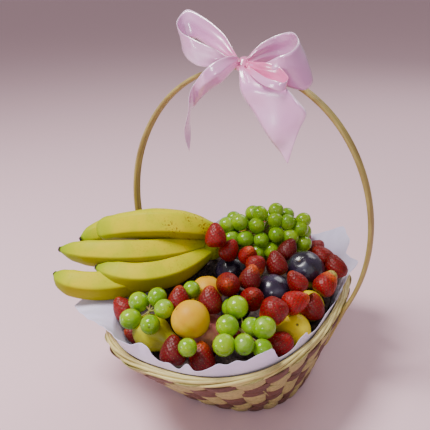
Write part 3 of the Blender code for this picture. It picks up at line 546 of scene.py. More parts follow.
def chip_finish(name, key, dark):
    """Weaving chip: long fibres, their streaks dark times the base, and shade where it goes under another."""
    base = tint(bpy.context.scene.basket_sizes, key)
    made, tree, shader = finish(name, 0.62)
    grain = use_group(tree, grain_group, Colour=base, Dark=tuple(c * dark for c in base), Along=70.0,
                      Across=7.0, Contrast=0.8, Depth=0.0007)
    hidden = ramp(tree, mark(tree, "hidden"), 0.2, 1.0, 0.0, 0.75)
    shaded = mixed(tree, hidden, grain.outputs["Colour"], tuple(c * 0.25 for c in base))
    join(tree, shaded, shader.inputs["Base Color"])
    join(tree, grain.outputs["Normal"], shader.inputs["Normal"])
    return made


def tissue_finish():
    """Tissue paper: pale and soft, with clouds of a paler tone and fine creases."""
    base = tint(bpy.context.scene.wrap_sizes, "tissue")
    made, tree, shader = finish("tissue_paper", 0.55, sheen=0.25)
    paler = tuple(min(1.0, c * 1.12) for c in base)
    spots = use_group(tree, mottle_group, Colour=base, Other=paler, Scale=25.0)
    crease = use_group(tree, relief_group, Scale=260.0, Strength=0.35, Depth=0.0008)
    join(tree, spots.outputs["Colour"], shader.inputs["Base Color"])
    join(tree, crease.outputs["Normal"], shader.inputs["Normal"])
    return made


def satin_finish():
    """Satin ribbon: smooth and bright, with fine threads across it and paler selvedges, and painted shade as a
    deeper pink on and near the knot and along the small loop."""
    base = tint(bpy.context.scene.wrap_sizes, "satin")
    made, tree, shader = finish("satin", 0.30, coat=1.0, coat_roughness=0.17, sheen=0.1, specular=0.9)
    shader.inputs["Coat IOR"].default_value = 1.9
    pale = tuple(c + (1 - c) * 0.45 for c in base)
    edge = mixed(tree, ramp(tree, mark(tree, "edge"), 0.93, 0.985), base, pale)
    tone = use_group(tree, mottle_group, Colour=edge, Other=pale, Scale=18.0, Low=0.45, High=0.9)
    thread = use_group(tree, grain_group, Along=900.0, Across=3.0, Depth=0.00012)
    # Painted shade: deeper pink where blush is high, on and near the knot and in the small loop.
    warm = mixed(tree, mark(tree, "blush"), tone.outputs["Colour"], (0.88, 0.17, 0.42))
    join(tree, warm, shader.inputs["Base Color"])
    join(tree, thread.outputs["Normal"], shader.inputs["Normal"])
    return made


def paper_finish():
    """Shredded paper drawn near black: painted shade for the deep gaps between the fruit."""
    base = tint(bpy.context.scene.wrap_sizes, "paper")
    made, tree, shader = finish("paper_filling", 0.9)
    tone = use_group(tree, mottle_group, Colour=base, Other=tuple(c * 2.2 for c in base), Scale=220.0)
    rough = use_group(tree, relief_group, Scale=300.0, Strength=0.9, Depth=0.003)
    join(tree, tone.outputs["Colour"], shader.inputs["Base Color"])
    join(tree, rough.outputs["Normal"], shader.inputs["Normal"])
    return made


def banana_finish():
    """Banana skin: yellow, with painted shade on its lower faces, greener on its ridges and towards its ends,
    with a black tip and brown flecks."""
    look = bpy.context.scene.fruit_sizes
    made, tree, shader = finish("banana_skin", 0.46, specular=0.10)
    base, green = tint(look, "banana"), tint(look, "banana_green")
    unripe = (base[0] * 0.80, base[1] * 0.94, base[2] * 0.9)
    tone = use_group(tree, mottle_group, Colour=base, Other=unripe, Scale=34.0, Dots=(0.16, 0.07, 0.0),
                     Dot_scale=150.0, Dot_amount=0.10)
    on_ridge = maths(tree, "MULTIPLY", mark(tree, "ridge"), 0.55)
    greener = tuple(b * 0.35 + g * 0.65 for b, g in zip(base, green))
    ridge = mixed(tree, on_ridge, tone.outputs["Colour"], greener)
    # Painted shade: faces that point down go towards dark olive, by the mark under.
    under = mixed(tree, maths(tree, "MULTIPLY", mark(tree, "under"), 0.8), ridge, (0.27, 0.24, 0.0))
    ends = mixed(tree, mark(tree, "green"), under, green)
    specks = ramp(tree, noise(tree, place(tree), 420.0, 2.0), 0.55, 0.63)
    patches = ramp(tree, noise(tree, place(tree), 45.0, 2.0), 0.44, 0.56)
    flecks = maths(tree, "MULTIPLY", maths(tree, "MULTIPLY", specks, patches), mark(tree, "ripe"))
    spotted = mixed(tree, flecks, ends, (0.22, 0.075, 0.012))
    tip = mixed(tree, mark(tree, "black"), spotted, (0.022, 0.016, 0.010))
    join(tree, tip, shader.inputs["Base Color"])
    fine = use_group(tree, relief_group, Scale=260.0, Strength=0.12, Depth=0.0006)
    join(tree, fine.outputs["Normal"], shader.inputs["Normal"])
    return made


def grape_finish():
    """Grape skin: clear green with a milky bloom in patches, and a brown scar at its end."""
    look = bpy.context.scene.fruit_sizes
    made, tree, shader = finish("grape_skin", 0.22, coat=0.3, coat_roughness=0.12, subsurface=0.25,
                                specular=0.35)
    shader.inputs["Subsurface Radius"].default_value = (0.006, 0.008, 0.002)
    shader.inputs["Subsurface Scale"].default_value = 0.6
    tone = use_group(tree, mottle_group, Colour=tint(look, "grape"), Other=tint(look, "grape_pale"),
                     Scale=42.0, Low=0.40, High=0.66, Dots=(0.30, 0.26, 0.05), Dot_scale=420.0,
                     Dot_amount=0.10)
    bloom = ramp(tree, noise(tree, place(tree), 95.0, 4.0), 0.50, 0.75, 0.0, 0.28)
    milky = mixed(tree, bloom, tone.outputs["Colour"], (0.52, 0.64, 0.20))
    scar = mixed(tree, mark(tree, "scar"), milky, (0.10, 0.06, 0.02))
    join(tree, scar, shader.inputs["Base Color"])
    join(tree, ramp(tree, bloom, 0.0, 0.28, 0.20, 0.42), shader.inputs["Roughness"])
    return made


def plum_finish():
    """Plum skin: almost black, with a faint waxy bloom."""
    base = tint(bpy.context.scene.fruit_sizes, "plum")
    made, tree, shader = finish("plum_skin", 0.25, coat=0.35, coat_roughness=0.2)
    tone = use_group(tree, mottle_group, Colour=base, Other=(0.030, 0.018, 0.045), Scale=45.0,
                     Dots=(0.12, 0.09, 0.12), Dot_scale=700.0, Dot_amount=0.18)
    bloom = ramp(tree, noise(tree, place(tree), 70.0, 4.0), 0.48, 0.75, 0.0, 0.30)
    waxy = mixed(tree, bloom, tone.outputs["Colour"], (0.085, 0.095, 0.17))
    scar = mixed(tree, mark(tree, "scar"), waxy, (0.10, 0.055, 0.02))
    join(tree, scar, shader.inputs["Base Color"])
    join(tree, ramp(tree, bloom, 0.0, 0.3, 0.24, 0.5), shader.inputs["Roughness"])
    return made


def downy_finish(name, base, blush, sun, amount, down):
    """Downy skin: a blush on the sunny side over the base, pale down, and a dark scar at its end."""
    made, tree, shader = finish(name, 0.50, sheen=down, subsurface=0.05, specular=0.3)
    shader.inputs["Subsurface Radius"].default_value = (0.004, 0.002, 0.001)
    shader.inputs["Subsurface Scale"].default_value = 0.5
    tone = use_group(tree, mottle_group, Colour=base, Other=sun, Scale=30.0, Low=0.35, High=0.7,
                     Dots=tuple(c * 0.55 for c in base), Dot_scale=520.0, Dot_amount=0.12)
    cloud = maths(tree, "MULTIPLY", noise(tree, place(tree), 60.0, 4.0), 0.5)
    sunny = ramp(tree, maths(tree, "ADD", mark(tree, "sun"), cloud), 0.45, 1.15)
    blushed = mixed(tree, maths(tree, "MULTIPLY", sunny, amount), tone.outputs["Colour"], blush)
    scar = mixed(tree, mark(tree, "scar"), blushed, (0.05, 0.028, 0.012))
    join(tree, scar, shader.inputs["Base Color"])
    fuzz = use_group(tree, relief_group, Scale=1500.0, Strength=0.18, Depth=0.0003)
    join(tree, fuzz.outputs["Normal"], shader.inputs["Normal"])
    return made


def pear_finish():
    """Pear skin: olive yellow with fine brown specks and a russet neck."""
    base = tint(bpy.context.scene.fruit_sizes, "pear")
    made, tree, shader = finish("pear_skin", 0.45, coat=0.1, coat_roughness=0.3)
    tone = use_group(tree, mottle_group, Colour=base, Other=tuple(c * 1.25 for c in base), Scale=50.0,
                     Dots=(0.22, 0.12, 0.01), Dot_scale=520.0, Dot_amount=0.55)
    russet = mixed(tree, mark(tree, "scar"), tone.outputs["Colour"], (0.16, 0.08, 0.02))
    join(tree, russet, shader.inputs["Base Color"])
    fine = use_group(tree, relief_group, Scale=300.0, Strength=0.25, Depth=0.0006)
    join(tree, fine.outputs["Normal"], shader.inputs["Normal"])
    return made


def strawberry_finish():
    """Strawberry skin: from dark to bright red by the fruit, orange to pale green at its tip, the orange
    partly painted highlight and partly the tip's own colour, with painted shade in the seed pits.
    """
    look = bpy.context.scene.fruit_sizes
    made, tree, shader = finish("strawberry_skin", 0.44, coat=0.06, coat_roughness=0.25, subsurface=0.03,
                                specular=0.3)
    shader.inputs["Subsurface Radius"].default_value = (0.004, 0.001, 0.001)
    shader.inputs["Subsurface Scale"].default_value = 0.5
    dark, bright = tint(look, "strawberry"), tint(look, "strawberry_bright")
    body = mixed(tree, mark(tree, "bright"), dark, bright)
    tone = use_group(tree, mottle_group, Colour=body, Other=dark, Scale=90.0, Low=0.45, High=0.8)
    tip = mark(tree, "tip")
    # Orange towards the tip: partly the berry's own colour, partly painted highlight.
    flush_and_highlight = mixed(tree, ramp(tree, tip, 0.0, 0.6), tone.outputs["Colour"], (0.62, 0.085, 0.006))
    pale = mixed(tree, ramp(tree, tip, 0.62, 1.0), flush_and_highlight, (0.50, 0.42, 0.08))
    # Painted shade: the seed pits drawn darker.
    pit_shade = maths(tree, "MULTIPLY", mark(tree, "pit"), 0.8)
    pit_shaded = mixed(tree, pit_shade, pale, tuple(c * 0.35 for c in dark))
    join(tree, pit_shaded, shader.inputs["Base Color"])
    fine = use_group(tree, relief_group, Scale=900.0, Strength=0.15, Depth=0.0003)
    join(tree, fine.outputs["Normal"], shader.inputs["Normal"])
    return made


def plain_finish(name, base, other, scale, roughness, **more):
    """A small part's finish: two tones in cloudy patches over light relief."""
    made, tree, shader = finish(name, roughness, **more)
    tone = use_group(tree, mottle_group, Colour=base, Other=other, Scale=scale)
    fine = use_group(tree, relief_group, Scale=scale * 4, Strength=0.3, Depth=0.0004)
    join(tree, tone.outputs["Colour"], shader.inputs["Base Color"])
    join(tree, fine.outputs["Normal"], shader.inputs["Normal"])
    return made


# ---------------------------------------------------------------- basket pieces

# How far a unit step square to the flared wall reaches level with the ground, across and along.
FLARE_STRETCH = (1.07, 1.37)
# The strips: thickness, heights of the pale and the brown one in rows, and how far the wave carries them.
CHIP_THICK = 0.0009
CHIP_HEIGHTS = (1.34, 1.14)
CHIP_SWING = 0.0019
# Where loose ends of chip stand out, as turns round the basket in radians.
STRAY_TURNS = (3.75, 4.05, 5.45, 0.9, 2.2)


def oval_at(angle, z, outset=0.0):
    """The wall's middle surface: a superellipse (x/a)^n + (y/b)^n = 1 whose half sizes and middle change
    evenly from base to rim, moved out square to the wall by outset."""
    s = bpy.context.scene.basket_sizes
    share = np.asarray(z) / s.rim_height
    half_x = s.base_half_x + (s.rim_half_x - s.base_half_x) * share + outset * FLARE_STRETCH[0]
    half_y = s.base_half_y + (s.rim_half_y - s.base_half_y) * share + outset * FLARE_STRETCH[1]
    c, d = np.cos(angle), np.sin(angle)
    x = half_x * np.sign(c) * np.abs(c) ** (2 / s.oval_power)
    y = half_y * np.sign(d) * np.abs(d) ** (2 / s.oval_power) + s.rim_centre_y * share
    return np.stack([x, y, np.broadcast_to(z, np.shape(x))], axis=-1)


def even_angles(count, z):
    """Angles whose points on the oval at height z lie at even steps of its length."""
    fine = np.linspace(0, TAU, 4001)
    path = oval_at(fine, z)
    along = np.concatenate([[0], np.cumsum(np.linalg.norm(np.diff(path, axis=0), axis=1))])
    return np.interp(np.linspace(0, along[-1], count, endpoint=False), along, fine)


def outward(path):
    """Level unit vectors square to a closed path round the basket, pointing away from it."""
    along = np.roll(path, -1, 0) - np.roll(path, 1, 0)
    out = np.stack([along[:, 1], -along[:, 0], 0 * along[:, 0]], -1)
    return out / np.linalg.norm(out, axis=1)[:, None]


class FRUIT_OT_wall(bpy.types.Operator):
    """Weaves the wall: in each row a pale and a brown strip, each an oval band that goes in and out as a
    cosine of its way round, half a wave apart, and each row about a quarter wave back from the last"""

    bl_idname = "fruit_basket.wall"
    bl_label = "Woven wall"

    def execute(self, context):
        s = context.scene.basket_sizes
        rng = np.random.default_rng(11)
        columns, across = 520, 5
        foot = 0.004
        pitch = (s.rim_height - s.rim_radius - 0.003) / s.rows
        share = np.linspace(-0.5, 0.5, across)[None]
        bulge = 0.0011 * (1 - (2 * share) ** 2)
        quads = np.vstack([ring_faces(columns, across, closed=False), self.seam(columns, across)])[:, ::-1]
        way = np.linspace(0, s.waves * TAU, columns, endpoint=False)[:, None]
        parts = []
        for row in range(s.rows):
            middle = foot + pitch * (row + 0.5)
            angle = even_angles(columns, middle)[:, None]
            lean = 0.35 * np.sin(way / s.waves * 2 + row) + rng.uniform(-0.2, 0.2)
            for strand, high in enumerate(CHIP_HEIGHTS):
                phase = way - 1.5 * row + 0.9 * math.sin(2.6 * row) + np.pi * strand + lean
                out = np.cos(phase)
                swing = CHIP_SWING * np.sign(out) * np.abs(out) ** 0.75
                height = pitch * (high + 0.12 * np.sin(way * 0.37 + 2 * row + strand))
                sway = pitch * (0.10 * np.sin(phase + 0.6) + 0.07 * np.sin(way * 0.21 + row))
                z = np.maximum(middle + sway + height * share, 0.0006)
                outset = s.wall / 2 + 0.0017 + swing + bulge * np.maximum(out, 0)
                points = oval_at(angle, z, outset)
                uv = np.stack(np.broadcast_arrays(way / TAU / 4 + row * 3.7 + strand, share + 0.5), -1)
                # hidden: painted shade on the strip where it dips behind its neighbour.
                hidden = np.broadcast_to(np.clip(0.15 - out, 0, 1), z.shape).reshape(-1)
                parts.append(part(points, quads, slot=strand, uv=uv, hidden=hidden))
        chips = [chip_finish("pale_chip", "pale_chip", 0.42), chip_finish("brown_chip", "dark_chip", 0.35)]
        woven = make_piece("woven_strips", parts, chips)
        thicken(woven, CHIP_THICK)
        inner = plain_finish("inner_chip", (0.10, 0.06, 0.04), (0.20, 0.14, 0.08), 60.0, 0.75)
        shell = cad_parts["basket_wall"]
        shell.data.materials.clear()
        shell.data.materials.append(inner)
        self.stray_ends(rng, chips[0])
        return {"FINISHED"}

    @staticmethod
    def seam(columns, across):
        """Quads that close a strip on itself."""
        k = np.arange(across - 1)
        last = (columns - 1) * across
        return np.stack([last + k, k, k + 1, last + k + 1], axis=-1)

    @staticmethod
    def stray_ends(rng, chip):
        """Short ends of chip that stand out from the weave, here and there."""
        parts = []
        for turn in STRAY_TURNS:
            z = rng.uniform(0.05, 0.10)
            start = oval_at(np.array([turn]), z, 0.004)[0]
            end = oval_at(np.array([turn + 0.05]), z - 0.012, 0.010)[0]
            parts.append(tube(np.linspace(start, end, 4), np.array([1.0, 0.9, 0.7, 0.3]) * CHIP_THICK, 5))
        stray = make_piece("stray_chip_ends", parts, [chip])


class FRUIT_OT_rim(bpy.types.Operator):
    """Lays the rim: eight thin canes that lie side by side round the wall's top and turn slowly about its
    line, each swaying a little in and out of the bundle"""

    bl_idname = "fruit_basket.rim"
    bl_label = "Cane rim"

    def execute(self, context):
        s = context.scene.basket_sizes
        count, canes, turns = 420, 8, 2
        angle = even_angles(count, s.rim_height)
        middle = oval_at(angle, s.rim_height)
        out = outward(middle)
        way = np.arange(count) * TAU / count
        parts = []
        for k in range(canes):
            wander = 0.30 * np.sin(way * 5 + k * 1.7) + 0.12 * np.sin(way * 13 + k)
            turn = way * turns + k * TAU / canes + wander
            away = s.rim_radius * (0.68 + 0.07 * np.sin(way * 9 + 2.3 * k))[:, None]
            path = middle + away * (out * np.cos(turn)[:, None] + UP * np.sin(turn)[:, None])
            made = tube(path, s.rim_radius * (0.36 + 0.05 * np.sin(way * 5 + 2 * k)), 8, closed=True)
            made["uv"] = made["uv"] * [1.0, 0.45] + [k * 3.1, k * 0.9]
            parts.append(made)
        rim = make_piece("rim_canes", parts, [cane_finish("cane", 26.0, 3.0, 0.62)])
        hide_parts("rim")
        return {"FINISHED"}


def hoop_path(count):
    """The hoop's middle line: half an ellipse that drops just outside the rim, then straight down the
    outside of the wall."""
    s = bpy.context.scene.basket_sizes
    rim_pass = s.rim_half_x + s.rim_radius + 0.0004 + s.hoop_thick / 2
    low = -math.sqrt(1 - (rim_pass / s.hoop_half) ** 2)
    half_height = (s.hoop_top - s.rim_height) / (1 - low)
    middle = s.hoop_top - half_height
    foot = math.asin((s.hoop_foot - middle) / half_height)
    t = np.linspace(foot, math.pi - foot, count)
    z = middle + half_height * np.sin(t)
    base_x = s.base_half_x + s.hoop_thick / 2 + 0.002
    leg = base_x + (rim_pass - base_x) * z / s.rim_height
    x = np.where(z > s.rim_height, s.hoop_half * np.abs(np.cos(t)), leg) * np.sign(np.cos(t))
    return np.stack([x, np.full(count, s.hoop_y), z], axis=-1)


class FRUIT_OT_hoop(bpy.types.Operator):
    """Bends the hoop: a band whose section is three half-round canes side by side, carried along half an
    ellipse that runs down outside the wall, its ends cut thin"""

    bl_idname = "fruit_basket.hoop"
    bl_label = "Hoop handle"

    def execute(self, context):
        s = context.scene.basket_sizes
        count, sides = 300, 52
        path = hoop_path(count)
        along = np.gradient(path, axis=0)
        along /= np.linalg.norm(along, axis=1)[:, None]
        width = np.array([0.0, 1.0, 0.0])
        out = np.cross(width, along)
        face = np.linspace(0.99, -0.99, sides // 2)
        across = np.concatenate([face, -face])
        lobes = 0.62 + 0.38 * np.abs(np.cos(across * 1.5 * np.pi)) ** 0.7
        thick = np.repeat([1, -1], sides // 2) * np.sqrt(1 - across**8) * lobes
        step = np.linspace(0, 1, count)
        taper = np.clip(np.minimum(step, 1 - step) / 0.02, 0.25, 1)
        wander = 0.0003 * np.sin(step * 40)[:, None, None]
        points = (
            path[:, None]
            + width * (across * s.hoop_band / 2)[None, :, None] * (0.5 + 0.5 * taper)[:, None, None]
            + out[:, None] * (thick * s.hoop_thick / 2)[None, :, None] * taper[:, None, None]
            + wander * width
        )
        groove = np.clip(1 - (lobes - 0.62) / 0.16, 0, 1) * (np.abs(across) < 0.8)
        uv = np.stack(np.broadcast_arrays(step[:, None] * 9, (across * 1.5)[None]), -1)
        uv = np.vstack([uv.reshape(-1, 2), [[0, 0], [9, 0]]])
        flat = np.vstack([points.reshape(-1, 3), path[0], path[-1]])
        groove = np.concatenate([np.tile(groove, count), [0, 0]])
        made = part(flat, ring_faces(count, sides), end_fans(count, sides), uv=uv, groove=groove)
        hoop = make_piece("hoop_canes", [made], [cane_finish("hoop_cane", 3.0, 5.0, 0.75)])
        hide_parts("hoop_handle")
        return {"FINISHED"}


# ---------------------------------------------------------------- tissue, paper and bow

# The tissue's edge round the rim: turn in degrees, rise above the rim in mm and lean outwards in degrees.
TISSUE_EDGE = (
    (2, 6, 4), (8, 9, 12), (14, 5, 25), (22, 8, 32), (25.5, 10, 34), (29, 27, 40), (36, 18, 36),
    (41.5, 16, 22), (43.5, 31, 28), (52, 35, 29), (59, 42, 29), (64, 29, 22), (71, 16, 18),
    (76, 11, 14), (84, 17, 8), (90, 9, 6), (99, 15, 6), (107, 8, 6), (118, 14, 8), (126, 31, 10),
    (134, 26, 8), (142, 11, 14), (152, 7, 30), (166, 6, 50), (182, 12, 62), (196, 40, 78),
    (206.5, 64, 80), (213, 49, 76), (219.5, 33, 70), (226.5, 18, 56), (235, 13, 32), (245, 17, 14),
    (251.5, 21, 9), (258, 19.5, 6), (263.5, 26, 4), (267, 26.5, 4), (269, 18, 3), (270, 10, 2),
    (273, 11, 2), (275.2, 4, 2), (276.6, 4, 2), (279.6, 14, 2), (281.3, 11.5, 2), (282.6, 5, 2),
    (286.3, 7, 2), (290, 13, 1), (293.2, 17.5, 0), (297.3, 14, 0), (302.5, 17, 0), (306, 15, 0),
    (311.7, 20, -1), (318.4, 24.5, -2), (320.6, 14, 0), (323.4, 3, 2), (329, 2.5, 2), (333, 4, 2),
    (336, 10, 1), (340, 15, 0), (341.6, 6, 2), (345, 5.5, 3), (350, 4, 3), (355, 7, 3),
)


# Where the tissue, going up, moves from the wall to the rim: from this height, within this distance.
TISSUE_STEP = (0.095, 0.015)
# How far it keeps from the wall, from the rim's top and from the rim's side.
TISSUE_GAPS = (0.0016, 0.0016, 0.0014)


class FRUIT_OT_tissue(bpy.types.Operator):
    """Lines the basket with tissue: a sheet that runs up inside the wall and on past the rim, its edge cut
    off along straight runs between named corners, with pleats that deepen towards the edge"""

    bl_idname = "fruit_basket.tissue"
    bl_label = "Tissue liner"

    def execute(self, context):
        s, w = context.scene.basket_sizes, context.scene.wrap_sizes
        sides, low_rows, high_rows = 720, 12, 22
        angle = np.linspace(0, TAU, sides, endpoint=False)
        degrees = np.degrees(angle)
        near = s.wall / 2 + TISSUE_GAPS[0]
        turn_z = s.rim_height + s.rim_radius + TISSUE_GAPS[1]
        clear = s.rim_radius + TISSUE_GAPS[2]
        heights = np.linspace(w.tissue_bottom, turn_z, low_rows)
        share = np.clip((heights - TISSUE_STEP[0]) / TISSUE_STEP[1], 0, 1)
        inset = near + (clear - near) * share * share * (3 - 2 * share)
        rows = [oval_at(angle, z, -i) for z, i in zip(heights, inset)]
        corner, height, tilt = np.array(TISSUE_EDGE).T
        kernel = np.array([1, 2, 3, 2, 1]) / 9
        rise = self.round_off(np.interp(degrees, corner, height, period=360), kernel) * MM
        lean = np.radians(self.round_off(np.interp(degrees, corner, tilt, period=360), np.ones(17) / 17))
        out = outward(rows[-1])
        way = out * np.sin(lean)[:, None] + UP * np.cos(lean)[:, None]
        cross = out * np.cos(lean)[:, None] - UP * np.sin(lean)[:, None]
        sag = 7.0 * rise**2 * (np.degrees(lean) / 90) ** 4
        pleat = self.pleats(angle)
        for up in np.linspace(0, 1, high_rows + 1)[1:]:
            row = rows[low_rows - 1] + way * (rise * up)[:, None]
            row[:, 2] -= sag * up * up
            row += cross * (pleat * np.minimum(1, rise / 0.02) * up * (0.4 + 0.6 * up))[:, None]
            rows.append(row)
        rows = np.array(rows)
        quads = ring_faces(len(rows), sides)
        uv = np.stack(np.broadcast_arrays(np.linspace(0, 6, len(rows))[:, None], (angle * 4)[None]), -1)
        sheet = make_piece("tissue_sheet", [part(rows, quads[:, ::-1], uv=uv)], [tissue_finish()])
        thicken(sheet, w.tissue_thick)
        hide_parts("tissue_liner")
        return {"FINISHED"}

    @staticmethod
    def round_off(values, kernel):
        """Values round the rim averaged with their neighbours by the kernel."""
        reach = len(kernel) // 2
        return np.convolve(np.concatenate([values[-reach:], values, values[:reach]]), kernel, mode="valid")

    @staticmethod
    def pleats(angle):
        """Outward lift of the folds round the edge: triangle waves, arcsin(sin), of unlike counts."""
        broad = np.arcsin(np.sin(angle * 15 + 1.6 * np.sin(angle * 4))) / np.pi + 0.5
        narrow = np.arcsin(np.sin(angle * 41 + 2.0 * np.sin(angle * 5))) / np.pi + 0.5
        return 0.0062 * broad + 0.0016 * narrow


# The hollow in the paper: its middle, its reach along x and y, and its depth; and the level it starts at.
HOLLOW_PLACE = (-0.012, -0.035)
HOLLOW_REACH = (0.048, 0.040)
HOLLOW_DEPTH = 0.024
PAPER_LEVEL = 0.108


class FRUIT_OT_bed(bpy.types.Operator):
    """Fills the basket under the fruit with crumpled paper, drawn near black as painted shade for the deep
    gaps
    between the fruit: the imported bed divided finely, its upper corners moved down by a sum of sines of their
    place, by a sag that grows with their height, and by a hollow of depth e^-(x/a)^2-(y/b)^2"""

    bl_idname = "fruit_basket.bed"
    bl_label = "Paper filling"

    def execute(self, context):
        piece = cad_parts["paper_bed"].copy()
        piece.data = piece.data.copy()
        piece.name = piece.data.name = "paper_filling"
        context.scene.collection.objects.link(piece)
        piece.parent = None
        weld = piece.modifiers.new("Merge", "WELD")
        weld.merge_threshold = 0.00001
        fine = piece.modifiers.new("Divide", "SUBSURF")
        fine.subdivision_type = "SIMPLE"
        fine.levels = fine.render_levels = 3
        context.view_layer.update()
        mesh = bpy.data.meshes.new_from_object(piece.evaluated_get(context.evaluated_depsgraph_get()))
        piece.modifiers.clear()
        piece.data = mesh
        co = np.empty(len(mesh.vertices) * 3)
        mesh.vertices.foreach_get("co", co)
        co = co.reshape(-1, 3)
        x, y, z = co.T
        crumple = np.abs(np.sin(x * 310 + 3 * np.sin(y * 170)))
        crumple += np.abs(np.sin(y * 270 + 3 * np.sin(x * 190)))
        away = (co[:, :2] - HOLLOW_PLACE) / HOLLOW_REACH
        hollow = HOLLOW_DEPTH * np.exp(-(away**2).sum(axis=1))
        over = z - PAPER_LEVEL
        sag = np.clip(over * 1.5, 0, 0.009) + np.clip(over, 0, hollow)
        co[:, 2] -= np.where(z > 0.1, 0.0022 * (2 - crumple) + sag, 0)
        mesh.vertices.foreach_set("co", co.reshape(-1))
        mesh.materials.clear()
        mesh.materials.append(paper_finish())
        mesh.shade_smooth()
        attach(piece, BODY)
        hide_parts("paper_bed")
        return {"FINISHED"}


# Each ribbon's two edges, station by station, in mm, from the knot to its end.
RIBBONS = {
    "loop_left": (
        ((-1, 2, 422), (-5, 2, 417)),
        ((-15, 9, 437), (-21, 7, 424)),
        ((-30, 18, 449), (-36, 14, 429)),
        ((-58, 30, 464), (-55, 24, 433)),
        ((-83, 36, 473), (-71, 28, 440)),
        ((-91, 28, 468), (-82, 22, 440)),
        ((-87, 12, 460), (-81, 8, 431)),
        ((-73, -4, 451), (-66, -8, 422)),
        ((-58, -14, 446), (-47, -18, 416)),
        ((-34, -16, 438), (-33, -20, 414)),
        ((-23, -13, 433), (-18, -17, 415)),
        ((-15, -6, 426), (-8, -9, 417)),
        ((-4, 2, 420), (-4, 2, 414)),
    ),
    "loop_right": (
        ((8, 2, 421), (11, 2, 415)),
        ((17, 8, 433), (22, 10, 414)),
        ((26, 15, 441), (35, 18, 414)),
        ((38, 20, 447), (50, 23, 413)),
        ((54, 18, 451), (68, 23, 413)),
        ((66, 9, 448), (81, 16, 407)),
        ((73, -2, 443), (88, 4, 400)),
        ((73, -13, 438), (84, -7, 393)),
        ((68, -20, 434), (71, -15, 395)),
        ((58, -23, 430), (57, -18, 400)),
        ((41, -18, 422), (40, -15, 405)),
        ((21, -8, 418), (21, -8, 411)),
        ((8, 2, 417), (8, 2, 412)),
    ),
    "loop_small": (
        ((9, 1, 420), (10, -1, 414)),
        ((26, -10, 421), (24, -12, 410)),
        ((41, -18, 422), (39, -20, 405)),
        ((56, -24, 420), (52, -26, 401)),
        ((67, -30, 415), (64, -32, 400)),
        ((75, -36, 410), (72, -38, 399)),
        ((73, -42, 406), (69, -44, 397)),
        ((64, -43, 407), (60, -45, 399)),
        ((49, -37, 409), (45, -39, 402)),
        ((31, -23, 413), (28, -25, 407)),
        ((13, -2, 415), (11, -4, 410)),
    ),
    "tail_left": (
        ((-2, 2, 422), (1, 2, 414)),
        ((-1, -6, 426), (-1, -5, 413)),
        ((-7, -18, 426), (-5, -12, 408)),
        ((-18, -28, 421), (-12, -20, 398)),
        ((-28, -32, 413), (-23, -22, 390)),
        ((-36, -32, 404), (-33, -22, 383)),
        ((-44, -32, 393), (-45, -18, 374)),
        ((-48, -34, 381), (-55, -12, 365)),
        ((-50, -36, 368), (-63, -8, 357)),
        ((-55, -34, 352), (-61, -10, 346)),
        ((-59, -30, 337), (-60, -14, 332)),
        ((-59, -26, 322), (-59, -18, 320)),
        ((-58, -22, 311), (-59, -20, 310)),
    ),
    "tail_right": (
        ((1, 2, 417), (8, 2, 412)),
        ((5, -10, 411), (22, -12, 408)),
        ((9, -18, 400), (45, -26, 404)),
        ((13, -22, 390), (62, -34, 401)),
        ((21, -26, 378), (74, -38, 399)),
        ((32, -30, 366), (86, -40, 389)),
        ((44, -32, 352), (97, -40, 375)),
        ((56, -34, 338), (90, -38, 357)),
        ((66, -34, 326), (83, -36, 337)),
        ((75, -34, 315), (76, -34, 315)),
    ),
}


# Creases along the middle of a ribbon: where each starts and ends along it, and how deep it is in metres.
FOLDS = {"tail_left": (0.04, 0.50, 0.0055), "loop_left": (0.62, 1.0, -0.003)}
KNOT_HALF = (0.0102, 0.0127, 0.0098)


